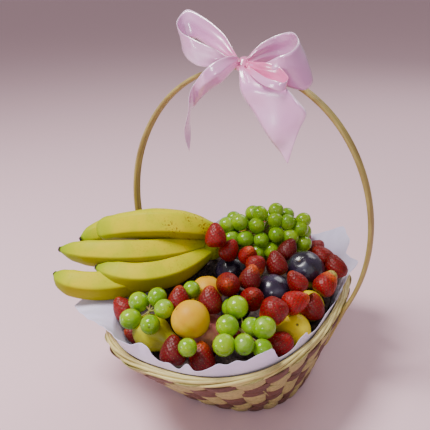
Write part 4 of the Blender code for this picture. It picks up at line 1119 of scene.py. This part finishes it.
class FRUIT_OT_bow(bpy.types.Operator):
    """Ties the bow: loops and tails of ribbon, each straight from edge to edge with a slight hollow, small
    gathers near the knot and a crease where FOLDS has one, and a pleated ball for the knot"""

    bl_idname = "fruit_basket.bow"
    bl_label = "Satin bow"

    def execute(self, context):
        w = context.scene.wrap_sizes
        satin = satin_finish()
        rows, cols = 160, 13
        step = np.linspace(0, 1, rows)[:, None]
        across = np.linspace(0, 1, cols)[None]
        edge = np.abs(2 * across - 1)
        knot = self.knot(satin)
        for name, stations in RIBBONS.items():
            loop = name.startswith("loop")
            sides = smooth_rows(np.array(stations, float).reshape(len(stations), 6) * MM, rows)
            first, last = sides[:, :3], sides[:, 3:]
            points = first[:, None] * (1 - across)[..., None] + last[:, None] * across[..., None]
            width = np.linalg.norm(last - first, axis=1)[:, None]
            face = np.cross(np.gradient((first + last) / 2, axis=0), last - first)
            face /= np.linalg.norm(face, axis=1)[:, None]
            hollow = 0.05 * width * np.sin(np.pi * across)
            gather = 0.0017 * self.near_knot(step, 0.16, loop) * np.sin(across * 5 * np.pi + 1)
            gather = gather * np.clip(width / 0.02 - 0.3, 0, 1)
            dent = 0.0016 * np.sin(step * 17 + 2) * np.sin(across * 3 + 1) * np.minimum(1, width / 0.02)
            start, end, depth = FOLDS.get(name, (0, 1, 0))
            crease = depth * np.sin(np.pi * np.clip((step - start) / (end - start), 0, 1)) * (1 - edge)
            points = points + face[:, None] * (hollow + gather + dent + crease)[..., None]
            steps = np.linalg.norm(np.diff(points[:, cols // 2], axis=0), axis=1)
            along = np.concatenate([[0], np.cumsum(steps)])
            uv = np.stack(np.broadcast_arrays(along[:, None] * 10, across), -1)
            # blush is painted shade: deepest at the knot and fading away from it, and over the small loop's
            # first half.
            blush = self.near_knot(step, 0.11, loop) + 0.9 * (step < 0.55) * (name == "loop_small")
            marks = {"edge": np.tile(edge[0], rows), "blush": np.repeat(np.clip(blush, 0, 1), cols)}
            made = part(points, ring_faces(rows, cols, closed=False), uv=uv, **marks)
            ribbon = make_piece("ribbon_" + name, [made], [satin])
            thicken(ribbon, w.ribbon_thick)
        return {"FINISHED"}

    @staticmethod
    def near_knot(step, reach, loop):
        """Nearness to the knot: e^-(step/reach), and for a loop the same from its other end as well."""
        near = np.exp(-step / reach)
        return near + np.exp(-(1 - step) / reach) if loop else near

    @staticmethod
    def knot(satin):
        """The knot: an ellipsoid with pleats that run across it."""
        s = bpy.context.scene.basket_sizes
        theta, phi, quads, tris = globe(28, 48)
        ball = ball_points(theta, phi)
        pleat = 1 + 0.05 * np.sin(ball[:, 2] * 9 + ball[:, 0] * 1.5)
        middle = (0.003, s.hoop_y - 0.001, s.hoop_top + 0.0025)
        points = ball * KNOT_HALF * pleat[:, None] + middle
        uv = np.stack([phi, ball[:, 2]], -1)
        # The knot is drawn mostly in the painted shade pink (blush 0.8).
        knot = make_piece("bow_knot", [part(points, quads, tris, uv=uv, edge=0.0, blush=0.8)], [satin])
        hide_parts("bow")
        return knot


# ---------------------------------------------------------------- bananas

# Bananas bent through tip, middle and neck, in mm, and the way that one ridge of each faces.
FINGERS = (
    ((-192, -54, 190), (-103, -33, 210), (-39, 8, 192), (0.36, -0.92, -0.10)),
    ((-219, -98, 178), (-124, -66, 177), (-54, 2, 174), (0.36, -0.92, 0.10)),
    ((-158, -101, 166), (-88, -77, 157), (-46, -6, 167), (0.36, -0.90, 0.26)),
    ((-206, -126, 158), (-137, -105, 147), (-52, -18, 158), (0.36, -0.90, 0.22)),
    ((-203, -74, 184), (-146, -19, 190), (-56, 12, 170), (0.36, -0.92, -0.10)),
)
# Their thickness, in radii, at shares of their length from the tip; and the crown they grow from.
FINGER_SHARES = (0, 0.008, 0.02, 0.04, 0.09, 0.2, 0.45, 0.7, 0.83, 0.92, 1)
FINGER_WIDTHS = (0.17, 0.21, 0.24, 0.40, 0.68, 0.93, 1.02, 0.98, 0.83, 0.66, 0.54)
CROWN_PLACE = (-42, 6, 171)
CROWN_HALF = (0.0120, 0.0162, 0.0178)


class FRUIT_OT_bananas(bpy.types.Operator):
    """Grows the bananas: each a five-sided tube along a quadratic curve, thick in the middle with a slender
    neck and a stub at its tip, the first one fuller and most so near its tip, all from one crown"""

    bl_idname = "fruit_basket.bananas"
    bl_label = "Banana hand"

    def execute(self, context):
        f = context.scene.fruit_sizes
        rows, sides = 110, 45
        share = np.linspace(0, 1, rows)
        spread = np.repeat(share, sides)
        turn = np.arange(sides) * TAU / sides
        girth = np.pad(np.interp(share, FINGER_SHARES, FINGER_WIDTHS), 2, mode="edge")
        girth = np.convolve(girth, [0.1, 0.2, 0.4, 0.2, 0.1], mode="valid") * f.finger_radius
        parts = []
        for number, (tip, middle, neck, facing) in enumerate(FINGERS):
            tip, middle, neck = (np.array(p, float) * MM for p in (tip, middle, neck))
            bend = 2 * middle - (tip + neck) / 2
            t = share[:, None]
            line = (1 - t) ** 2 * tip + 2 * t * (1 - t) * bend + t**2 * neck
            along = np.gradient(line, axis=0)
            along /= np.linalg.norm(along, axis=1)[:, None]
            plane = np.cross(middle - tip, neck - middle)
            plane /= np.linalg.norm(plane)
            other = np.cross(along, plane)
            front = math.atan2(np.dot(facing, other[rows // 2]), np.dot(facing, plane))
            lines = (turn - front) * 5
            apart = np.arccos(np.clip(np.cos(lines), -1, 1)) / 5
            face = (np.floor(lines / TAU) + 0.5) * TAU / 5 + front
            lift = np.cos(face)[None] * plane[2] + np.sin(face)[None] * other[:, 2:]
            sharp = 0.84 * (np.cos(math.pi / 5) / np.cos(math.pi / 5 - apart) - 0.90)
            ridged = 1 + sharp[None] * np.sin(np.pi * np.clip(share, 0.02, 0.98))[:, None] ** 0.3
            wave = 1 + 0.012 * np.sin(share * 17 + number * 2)[:, None] * np.cos(turn * 2 + number)[None]
            ring = np.cos(turn)[None, :, None] * plane + np.sin(turn)[None, :, None] * other[:, None]
            full = 1 + (0.10 + 0.35 * np.exp(-(((share - 0.07) / 0.07) ** 2)))[:, None] * (number == 0)
            points = line[:, None] + ring * (girth[:, None] * ridged * wave * full)[..., None]
            flat = np.vstack([points.reshape(-1, 3), line[0] + along[0] * 0.0008, line[-1]])
            ridge = np.tile(np.clip(1 - apart / 0.10, 0, 1), rows)
            green = np.clip(1 - spread / 0.24, 0, 1) ** 1.3 + np.clip((spread - 0.84) / 0.16, 0, 1) * 0.45
            marks = {
                "ridge": ridge * np.sin(np.pi * spread) ** 0.5,
                # under is painted shade, highest on the faces that point down.
                "under": np.clip(0.35 - lift.reshape(-1) * 2, 0, 1),
                "green": green,
                "black": np.clip((0.022 - spread) / 0.008, 0, 1) * (0.7 if number == 0 else 1.0),
                "ripe": np.clip((spread - 0.40) * 4, 0, 1) * (1.0 if number == 0 else 0.2),
            }
            marks = {key: np.concatenate([value, [value[0], value[-1]]]) for key, value in marks.items()}
            parts.append(part(flat, ring_faces(rows, sides), end_fans(rows, sides), **marks))
        theta, phi, quads, tris = globe(24, 32)
        lumpy = 1 + 0.05 * np.sin(phi * 3 + 1) * np.sin(theta) + 0.03 * np.cos(theta * 5)
        crown = ball_points(theta, phi) * CROWN_HALF * lumpy[:, None] + np.array(CROWN_PLACE) * MM
        # The crown carries some painted shade as well (under 0.4).
        parts.append(part(crown, quads, tris, green=0.55, ripe=1.0, under=0.4))
        hand = make_piece("banana_skins", parts, [banana_finish()])
        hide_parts("banana_hand")
        return {"FINISHED"}


# ---------------------------------------------------------------- grapes

# Small bunches: each grape's place and width in mm.
LEFT_BUNCH = (
    (-74, -130, 150, 25),
    (-68, -157, 143, 25),
    (-37, -163, 147, 23),
    (-29, -145, 160, 23),
    (-49, -127, 161, 23),
    (-58, -117, 152, 21),
)
FRONT_BUNCH = (
    (50, -117, 167, 26),
    (40, -111, 160, 22),
    (50, -142, 157, 25),
    (56, -163, 147, 25),
    (75, -153, 147, 23),
    (86, -124, 154, 26),
    (70, -123, 150, 22),
    (91, -140, 138, 22),
)
# The big bunch: its middle in mm, half sizes, turn and lean in degrees, how many grapes its back has, their
# width, and the places in mm of those across its front.
BIG_BUNCH_PLACE = (2, 76, 172)
BIG_BUNCH_HALF = (0.060, 0.032, 0.024)
BIG_BUNCH_TURN = 27
BIG_BUNCH_LEAN = 20
BIG_BUNCH_BACK = 17
BIG_GRAPE = 0.023
BIG_BUNCH_FRONT = (
    (-52, 12), (-34, 16), (-6, 27), (17, 31), (15, 18), (-11, 11), (32, 15), (55, 17), (50, 5),
    (-46, -7), (-27, -7), (-5, -9), (16, -2), (35, -6), (-10, -26), (9, -24), (55, -16), (50, -28),
)


def grape_part(middle, width, away, rng):
    """One grape: a ball a little longer than wide along away, with a scar at its far end."""
    theta, phi, quads, tris = globe(20, 28)
    long = rng.uniform(1.0, 1.10)
    dent = 1 - 0.03 * np.exp(-((theta / 0.25) ** 2))
    local = ball_points(theta, phi) * (1, 1, long) * (width / 2 * dent)[:, None] / long ** (1 / 3)
    points = local @ axes_along(away) + middle
    return part(points, quads, tris, scar=np.exp(-((theta / 0.10) ** 4)))


def big_bunch_places():
    """The big bunch's grapes: the named front ones on its oval body, and a spiral over the back half."""
    half = np.array(BIG_BUNCH_HALF)
    front = np.array(BIG_BUNCH_FRONT, float) * MM
    left = np.maximum(0, 1 - (front[:, 0] / half[0] / 1.25) ** 2 - (front[:, 1] / half[1] / 1.25) ** 2)
    shown = np.stack([front[:, 0], -half[2] * np.sqrt(left), front[:, 1]], -1)
    number = np.arange(BIG_BUNCH_BACK)
    away = (number + 0.5) / BIG_BUNCH_BACK
    ring = np.sqrt(1 - away**2) * 0.94
    angle = number * GOLDEN_TURN
    hidden = np.stack([half[0] * ring * np.cos(angle), half[2] * away, half[1] * ring * np.sin(angle)], -1)
    local = np.vstack([shown, hidden])
    a, b = math.radians(BIG_BUNCH_TURN), math.radians(BIG_BUNCH_LEAN)
    x, y, z = local.T
    y, z = y * math.cos(b) + z * math.sin(b), -y * math.sin(b) + z * math.cos(b)
    x, y = x * math.cos(a) - y * math.sin(a), x * math.sin(a) + y * math.cos(a)
    return np.stack([x, y, z], -1) + np.array(BIG_BUNCH_PLACE) * MM


class FRUIT_OT_grapes(bpy.types.Operator):
    """Hangs the grapes: a ball for each, and from each bunch's middle a bent stem to every one of them"""

    bl_idname = "fruit_basket.grapes"
    bl_label = "Grape bunches"

    def execute(self, context):
        f = context.scene.fruit_sizes
        rng = np.random.default_rng(5)
        skin = grape_finish()
        wood = plain_finish("grape_twig", tint(f, "twig"), (0.22, 0.13, 0.05), 130.0, 0.6)
        bunches = {"grape_bunch_back": (big_bunch_places(), None, np.array(BIG_BUNCH_PLACE) * MM)}
        for name, bunch in (("grape_bunch_left", LEFT_BUNCH), ("grape_bunch_front", FRONT_BUNCH)):
            table = np.array(bunch, float) * MM
            bunches[name] = (table[:, :3], table[:, 3], None)
        for name, (places, widths, hub) in bunches.items():
            hub = places.mean(axis=0) - [0, 0, 0.004] if hub is None else hub
            widths = BIG_GRAPE * rng.uniform(0.93, 1.06, len(places)) if widths is None else widths
            parts = [grape_part(p, w, p - hub + rng.normal(0, 0.004, 3), rng) for p, w in zip(places, widths)]
            grapes = make_piece(name + "_skins", parts, [skin])
            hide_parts(name)
            self.stems(name, places, hub, wood)
        for name in node_names("grape"):
            middle, radius = ball_lie(name)
            grape = grape_part(middle, 2 * radius * 1.03, heading(250, 20), rng)
            single = make_piece(name + "_skin", [grape], [skin])
            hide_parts(name)
        return {"FINISHED"}

    @staticmethod
    def stems(name, places, hub, wood):
        """A twig from the hub to each grape, bent a little and thinner halfway."""
        parts = []
        for k, place in enumerate(places):
            t = np.linspace(0, 1, 9)[:, None]
            bow = np.cross(place - hub, (0.3, 0.2, 1.0)) * 0.12 * (-1) ** k
            path = hub + (place - hub) * t + bow * np.sin(np.pi * t)
            parts.append(tube(path, 0.0013 - 0.0005 * np.sin(np.pi * t[:, 0]), 7))
        twigs = make_piece(name + "_stems", parts, [wood])


# ---------------------------------------------------------------- round fruit

# How each stands: turn and lift of the stalk end, and the turn of the cleft about it, in degrees.
PLUM_LIES = ((60, 70, 0), (250, 55, 60), (180, 20, 90), (90, 30, 0), (90, 60, 0), (90, 60, 0))
APRICOT_LIES = (
    (120, 70, 30), (200, 40, 0), (20, 60, 200), (310, 50, 60), (0, 40, 0), (150, 40, 0), (80, 60, 0)
)
PEACH_LIES = ((110, 50, 20),)


def stone_fruit(name, lie, cleft, dimple, finishes, rng):
    """A stone fruit, a little larger than its node: r = R (1 - cleft e^-(turn/0.16)^2 sin^0.8 theta -
    dimple e^-(theta/0.26)^2 + lumps), drawn a little to a point at the end away from the stalk."""
    middle, radius = ball_lie(name)
    theta, phi, quads, tris = globe(56, 72)
    ball = ball_points(theta, phi)
    side = (phi + np.pi) % TAU - np.pi
    fold = cleft * np.exp(-((side / 0.16) ** 2)) * np.sin(theta) ** 0.8
    sink = dimple * np.exp(-((theta / 0.26) ** 2))
    lumps = 0.012 * np.sin(2 * phi + rng.uniform(0, 6)) * np.sin(theta)
    lumps += 0.008 * np.sin(3 * theta + rng.uniform(0, 6))
    point = 0.02 * np.exp(-(((np.pi - theta) / 0.3) ** 2))
    reach = radius * 1.015 * (1 - fold - sink + lumps + point)
    axes = axes_along(heading(lie[0], lie[1]), lie[2])
    points = (ball * reach[:, None]) @ axes + middle
    sun = np.clip(((ball @ axes) @ np.array([-0.45, 0.35, 0.82])) * 0.5 + 0.5, 0, 1)
    made = part(points, quads, tris, scar=np.exp(-((theta / 0.075) ** 4)), sun=sun)
    fruit = make_piece(name + "_skin", [made], finishes)
    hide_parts(name)


class FRUIT_OT_stone_fruit(bpy.types.Operator):
    """Lays the plums, apricots and peach: balls with a cleft down one side and a dimple at the stalk end"""

    bl_idname = "fruit_basket.stone_fruit"
    bl_label = "Plums, apricots and peach"

    def execute(self, context):
        f = context.scene.fruit_sizes
        rng = np.random.default_rng(21)
        plum = plum_finish()
        base, pale = tint(f, "apricot"), tint(f, "apricot_pale")
        warm = downy_finish("apricot_skin", base, (0.85, 0.30, 0.0), pale, 0.3, 0.0)
        lemon = downy_finish("lemon_apricot_skin", pale, (0.90, 0.50, 0.0), (0.94, 0.80, 0.02), 0.2, 0.0)
        rose = downy_finish("peach_skin", (0.80, 0.36, 0.16), tint(f, "peach"), (0.62, 0.14, 0.15), 0.9, 0.1)
        for name, lie in zip(node_names("plum"), PLUM_LIES):
            stone_fruit(name, lie, 0.02, 0.10, [plum], rng)
        for name, lie in zip(node_names("apricot"), APRICOT_LIES):
            skin = lemon if name in ("apricot_03", "apricot_04") else warm
            stone_fruit(name, lie, 0.04, 0.09, [skin], rng)
        for name, lie in zip(node_names("peach"), PEACH_LIES):
            stone_fruit(name, lie, 0.035, 0.10, [rose], rng)
        return {"FINISHED"}


# ---------------------------------------------------------------- turned fruit

# Radius and height of each fruit's outline from its foot up, in widths.
STRAWBERRY_PROFILE = (
    (0.0, -0.44), (0.20, -0.46), (0.36, -0.42), (0.49, -0.18), (0.42, 0.20), (0.21, 0.54), (0.09, 0.63),
    (0.0, 0.66),
)
PEAR_PROFILE = (
    (0.0, -0.47), (0.10, -0.49), (0.24, -0.49), (0.43, -0.32), (0.50, -0.06), (0.45, 0.20), (0.32, 0.44),
    (0.24, 0.66), (0.15, 0.82), (0.06, 0.87), (0.0, 0.86),
)


def carried_round(radius, height, turn):
    """Points at these distances from Z and heights, carried round Z to each turn."""
    radius, height = radius[:, None], height[:, None]
    places = np.broadcast_arrays(radius * np.cos(turn), radius * np.sin(turn), height)
    return np.stack(places, -1).reshape(-1, 3)


def turned(profile, rows, cols):
    """A smooth profile (radius, height) turned about Z: corners by row and column, poles last, the
    outward normals, and the faces."""
    line = even_rows(np.insert(smooth_rows(profile, 400), 1, 0, axis=1), rows + 1)
    turn = np.arange(cols) * TAU / cols
    out = np.stack([np.gradient(line[:, 2]), -np.gradient(line[:, 0])], -1)
    out /= np.linalg.norm(out, axis=1)[:, None]
    body = carried_round(np.maximum(line[1:-1, 0], 0), line[1:-1, 2], turn)
    normal = carried_round(out[1:-1, 0], out[1:-1, 1], turn)
    points = np.vstack([body, [[0, 0, line[0, 2]], [0, 0, line[-1, 2]]]])
    normal = np.vstack([normal, [[0, 0, -1], [0, 0, 1]]])
    return points, normal, ring_faces(rows - 1, cols)[:, ::-1], end_fans(rows - 1, cols)


def turned_lie(name, base, widest):
    """Middle, axes and width of a turned node whose foot is base widths below its middle and whose
    widest ring is widest widths from its axis."""
    corners = node_corners(name)
    mean, axis, across = long_lie(name)
    width = across / 2 / widest
    reach = (corners - mean) @ axis
    return mean + axis * (reach.min() + base * width), axis, width


def berry_seeds(count):
    """Seed places on a strawberry in widths: a spiral even by area along the profile."""
    line = even_rows(np.insert(smooth_rows(STRAWBERRY_PROFILE, 400), 1, 0, axis=1), 300)
    area = np.concatenate([[0], np.cumsum(line[1:, 0])])
    at = np.interp((np.arange(count) + 0.5) / count * area[-1], area, np.arange(300))
    radius = np.interp(at, np.arange(300), line[:, 0])
    height = np.interp(at, np.arange(300), line[:, 2])
    turn = np.arange(count) * GOLDEN_TURN
    return np.stack([radius * np.cos(turn), radius * np.sin(turn), height], -1)


# A seed's half width, half height and half length, how far it stands out of its pit, in berry widths.
SEED_HALF = (0.011, 0.008, 0.019)
SEED_RISE = 0.006
# The berry with a furrow down one side.
FURROWED = 5
# Brightness of each strawberry's red, and how far its pale tip comes down; others are drawn at random.
BERRY_LOOKS = {4: (0.5, 1.6), 5: (0.2, 0.3), 9: (0.7, 1.5), 15: (0.5, 1.7), 16: (1.0, 0.8)}


class FRUIT_OT_strawberries(bpy.types.Operator):
    """Lays the strawberries: a turned profile with a pit round each seed, depth e^-(distance/pit)^2, and
    flattened seeds set in the pits along a spiral"""

    bl_idname = "fruit_basket.strawberries"
    bl_label = "Strawberries"

    def execute(self, context):
        f = context.scene.fruit_sizes
        rng = np.random.default_rng(9)
        finishes = [
            strawberry_finish(),
            plain_finish("seed", tint(f, "seed"), (0.36, 0.16, 0.03), 900.0, 0.45, coat=0.2),
        ]
        points, normals, quads, tris = turned(STRAWBERRY_PROFILE, 52, 60)
        seeds = berry_seeds(f.seeds)
        apart = np.linalg.norm(points[:, None] - seeds[None], axis=2)
        nearest = apart.min(axis=1)
        at_seed = apart.argmin(axis=0)
        pit = np.exp(-((nearest / 0.042) ** 2))
        swell = np.clip(nearest / 0.085, 0, 1)
        relief = -0.020 * pit + 0.010 * swell
        top = np.clip((points[:, 2] + 0.05) / 0.71, 0, 1)
        turn = np.arctan2(points[:, 1], points[:, 0])
        theta, phi, pip_quads, pip_tris = globe(4, 6)
        grain = ball_points(theta, phi) * SEED_HALF
        shift = (np.arange(len(seeds)) * len(grain))[:, None, None]
        pip_quads, pip_tris = (pip_quads + shift).reshape(-1, 4), (pip_tris + shift).reshape(-1, 3)
        for number, name in enumerate(node_names("strawberry"), 1):
            middle, axis, width = turned_lie(name, 0.46, 0.49)
            bright, tip = BERRY_LOOKS.get(number, (rng.uniform(0.0, 0.75), rng.uniform(0.2, 0.9)))
            bend, first, second = rng.uniform(-0.05, 0.05, 2), *rng.uniform(0, TAU, 2)
            axes = axes_along(axis, rng.uniform(0, 360))
            lumps = 1 + 0.070 * np.cos(turn - first) * np.clip(points[:, 2], -0.3, 0.5)
            lumps += 0.03 * np.cos(2 * turn + second)
            if number == FURROWED:
                lumps -= 0.10 * np.exp(-(((turn - 1.2) / 0.3) ** 2)) * np.clip(points[:, 2] + 0.3, 0, 1)
            shaped = points * np.stack([lumps, lumps, np.ones_like(lumps)], -1) + normals * relief[:, None]
            shaped[:, :2] += bend * np.clip(points[:, 2:] + 0.1, 0, 1) ** 2
            tip = np.clip(top * tip * 1.15 - 0.45, 0, 1)
            marks = {"pit": pit, "bright": bright, "tip": tip}
            flesh = part(shaped @ axes * width + middle, quads, tris, **marks)
            away = normals[at_seed] / np.linalg.norm(normals[at_seed], axis=1)[:, None]
            lengthwise = UP - away * away[:, 2:]
            lengthwise /= np.maximum(np.linalg.norm(lengthwise, axis=1), 1e-6)[:, None]
            lies = np.stack([np.cross(away, lengthwise), away, lengthwise], axis=1)
            cloud = (shaped[at_seed] + SEED_RISE * away)[:, None] + grain @ lies
            pips = part(cloud @ axes * width + middle, pip_quads, pip_tris, slot=1)
            berry = make_piece(name + "_flesh", [flesh, pips], finishes)
            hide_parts(name)
        return {"FINISHED"}


class FRUIT_OT_pear(bpy.types.Operator):
    """Lays the pear: a turned profile, a little lopsided, with a bent stalk from its neck"""

    bl_idname = "fruit_basket.pear"
    bl_label = "Pear"

    def execute(self, context):
        stalk = plain_finish("pear_stalk", (0.10, 0.055, 0.025), (0.17, 0.10, 0.05), 240.0, 0.7)
        skin = pear_finish()
        points, _, quads, tris = turned(PEAR_PROFILE, 70, 64)
        x, y, z = points.T
        turn = np.arctan2(y, x)
        shaped = points * (1 + 0.02 * np.cos(turn * 2 + 1) + 0.012 * np.cos(turn * 3 + z * 4))[:, None]
        scar = np.clip((z - 0.70) / 0.15, 0, 1) + np.exp(-((np.hypot(x, y) / 0.05) ** 2))
        rise = np.linspace(0.80, 1.12, 12)
        stalk_line = np.stack([0.5 * (rise - 0.8) ** 2, 0 * rise, rise], -1)
        stalk_radius = np.interp(rise, (0.8, 0.95, 1.08, 1.12), (0.045, 0.030, 0.036, 0.045))
        for name in node_names("pear"):
            middle, axis, width = turned_lie(name, 0.50, 0.50)
            axes = axes_along(axis)
            body = part(shaped @ axes * width + middle, quads, tris, scar=np.clip(scar, 0, 1))
            stem = tube(stalk_line @ axes * width + middle, width * stalk_radius, 12)
            stem.update(slot=1, uv=None)
            pear = make_piece(name + "_skin", [body, stem], [skin, stalk])
            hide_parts(name)
        return {"FINISHED"}


# ---------------------------------------------------------------- stage

# Each light: name, place, diameter, power and tone.
LIGHTS = (
    ("key_light", (-0.7, -0.6, 1.9), 0.8, 50.0, (1.0, 0.99, 0.96)),
    ("fill_light", (1.7, -1.3, 1.2), 1.8, 6.0, (0.96, 0.97, 1.0)),
    ("back_light", (0.3, 1.8, 1.6), 1.2, 12.0, (1.0, 1.0, 1.0)),
    ("side_light", (-1.17, -1.05, 0.28), 0.34, 3.6, (0.94, 0.96, 1.0)),
    ("front_light", (0.36, -1.50, 0.86), 0.24, 3.4, (0.93, 0.97, 1.0)),
)
FLOOR_HALF = 60.0
# The camera: its right and up, its place, and its focal length in picture widths.
EYE_RIGHT = (0.8923, 0.4510, -0.0204)
EYE_UP = (-0.1534, 0.3455, 0.9258)
EYE_PLACE = (0.2977, -0.6457, 0.5170)
EYE_FOCAL = 599.13 / 430


class FRUIT_OT_stage(bpy.types.Operator):
    """Sets the stage: a plain pale floor, soft lights and the camera"""

    bl_idname = "fruit_basket.stage"
    bl_label = "Stage"

    def execute(self, context):
        scene = context.scene
        made, tree, shader = finish("floor", 0.9)
        join(tree, (0.92, 0.62, 0.70), shader.inputs["Base Color"])
        corners = FLOOR_HALF * np.array([[-1, -1, 0], [1, -1, 0], [1, 1, 0], [-1, 1, 0]])
        mesh = bpy.data.meshes.new("floor")
        mesh.from_pydata(corners.tolist(), [], [(0, 1, 2, 3)])
        mesh.materials.append(made)
        floor = bpy.data.objects.new("floor", mesh)
        scene.collection.objects.link(floor)
        for name, where, wide, power, tone in LIGHTS:
            light = bpy.data.lights.new(name, "AREA")
            light.shape = "DISK"
            light.size, light.energy, light.color = wide, power, tone
            lamp = bpy.data.objects.new(name, light)
            lamp.location = where
            lamp.rotation_euler = (Vector((0, 0, 0.15)) - Vector(where)).to_track_quat("-Z", "Y").to_euler()
            scene.collection.objects.link(lamp)
        world = bpy.data.worlds.new("studio")
        world.use_nodes = True
        sky = world.node_tree.nodes["Background"]
        sky.inputs["Color"].default_value = (1.0, 0.90, 0.92, 1.0)
        sky.inputs["Strength"].default_value = 0.32
        scene.world = world
        right, up = Vector(EYE_RIGHT), Vector(EYE_UP)
        eye = bpy.data.cameras.new("camera")
        eye.sensor_width = 36.0
        eye.lens = EYE_FOCAL * eye.sensor_width
        camera = bpy.data.objects.new("camera", eye)
        turn = Matrix((right, up, right.cross(up))).transposed()
        camera.matrix_world = Matrix.Translation(EYE_PLACE) @ turn.to_4x4()
        scene.collection.objects.link(camera)
        scene.camera = camera
        return {"FINISHED"}


class FRUIT_PT_panel(bpy.types.Panel):
    """Sizes, colours and makers of the fruit basket"""

    bl_idname = "FRUIT_PT_panel"
    bl_label = "Fruit Gift Basket"
    bl_space_type = "VIEW_3D"
    bl_region_type = "UI"
    bl_category = "Fruit Basket"

    def draw(self, context):
        for owner in (context.scene.basket_sizes, context.scene.wrap_sizes, context.scene.fruit_sizes):
            box = self.layout.box()
            for key in owner.bl_rna.properties.keys():
                if key not in ("rna_type", "name"):
                    box.prop(owner, key)
        for maker in MAKERS:
            self.layout.operator(maker.bl_idname)


PROPERTIES = {"basket_sizes": BasketSizes, "wrap_sizes": WrapSizes, "fruit_sizes": FruitSizes}
MAKERS = (
    FRUIT_OT_wall,
    FRUIT_OT_rim,
    FRUIT_OT_hoop,
    FRUIT_OT_tissue,
    FRUIT_OT_bed,
    FRUIT_OT_bananas,
    FRUIT_OT_grapes,
    FRUIT_OT_stone_fruit,
    FRUIT_OT_strawberries,
    FRUIT_OT_pear,
    FRUIT_OT_bow,
    FRUIT_OT_stage,
)


def register():
    """Adds the classes and the scene's properties."""
    for made in (*PROPERTIES.values(), *MAKERS, FRUIT_PT_panel):
        bpy.utils.register_class(made)
    for name, owner in PROPERTIES.items():
        setattr(bpy.types.Scene, name, PointerProperty(type=owner))


def unregister():
    """Takes them away again."""
    for name in PROPERTIES:
        delattr(bpy.types.Scene, name)
    for made in reversed((*PROPERTIES.values(), *MAKERS, FRUIT_PT_panel)):
        bpy.utils.unregister_class(made)


def main():
    """Builds every piece in order."""
    register()
    for maker in MAKERS:
        area, action = maker.bl_idname.split(".")
        getattr(getattr(bpy.ops, area), action)()


if __name__ == "__main__":
    main()
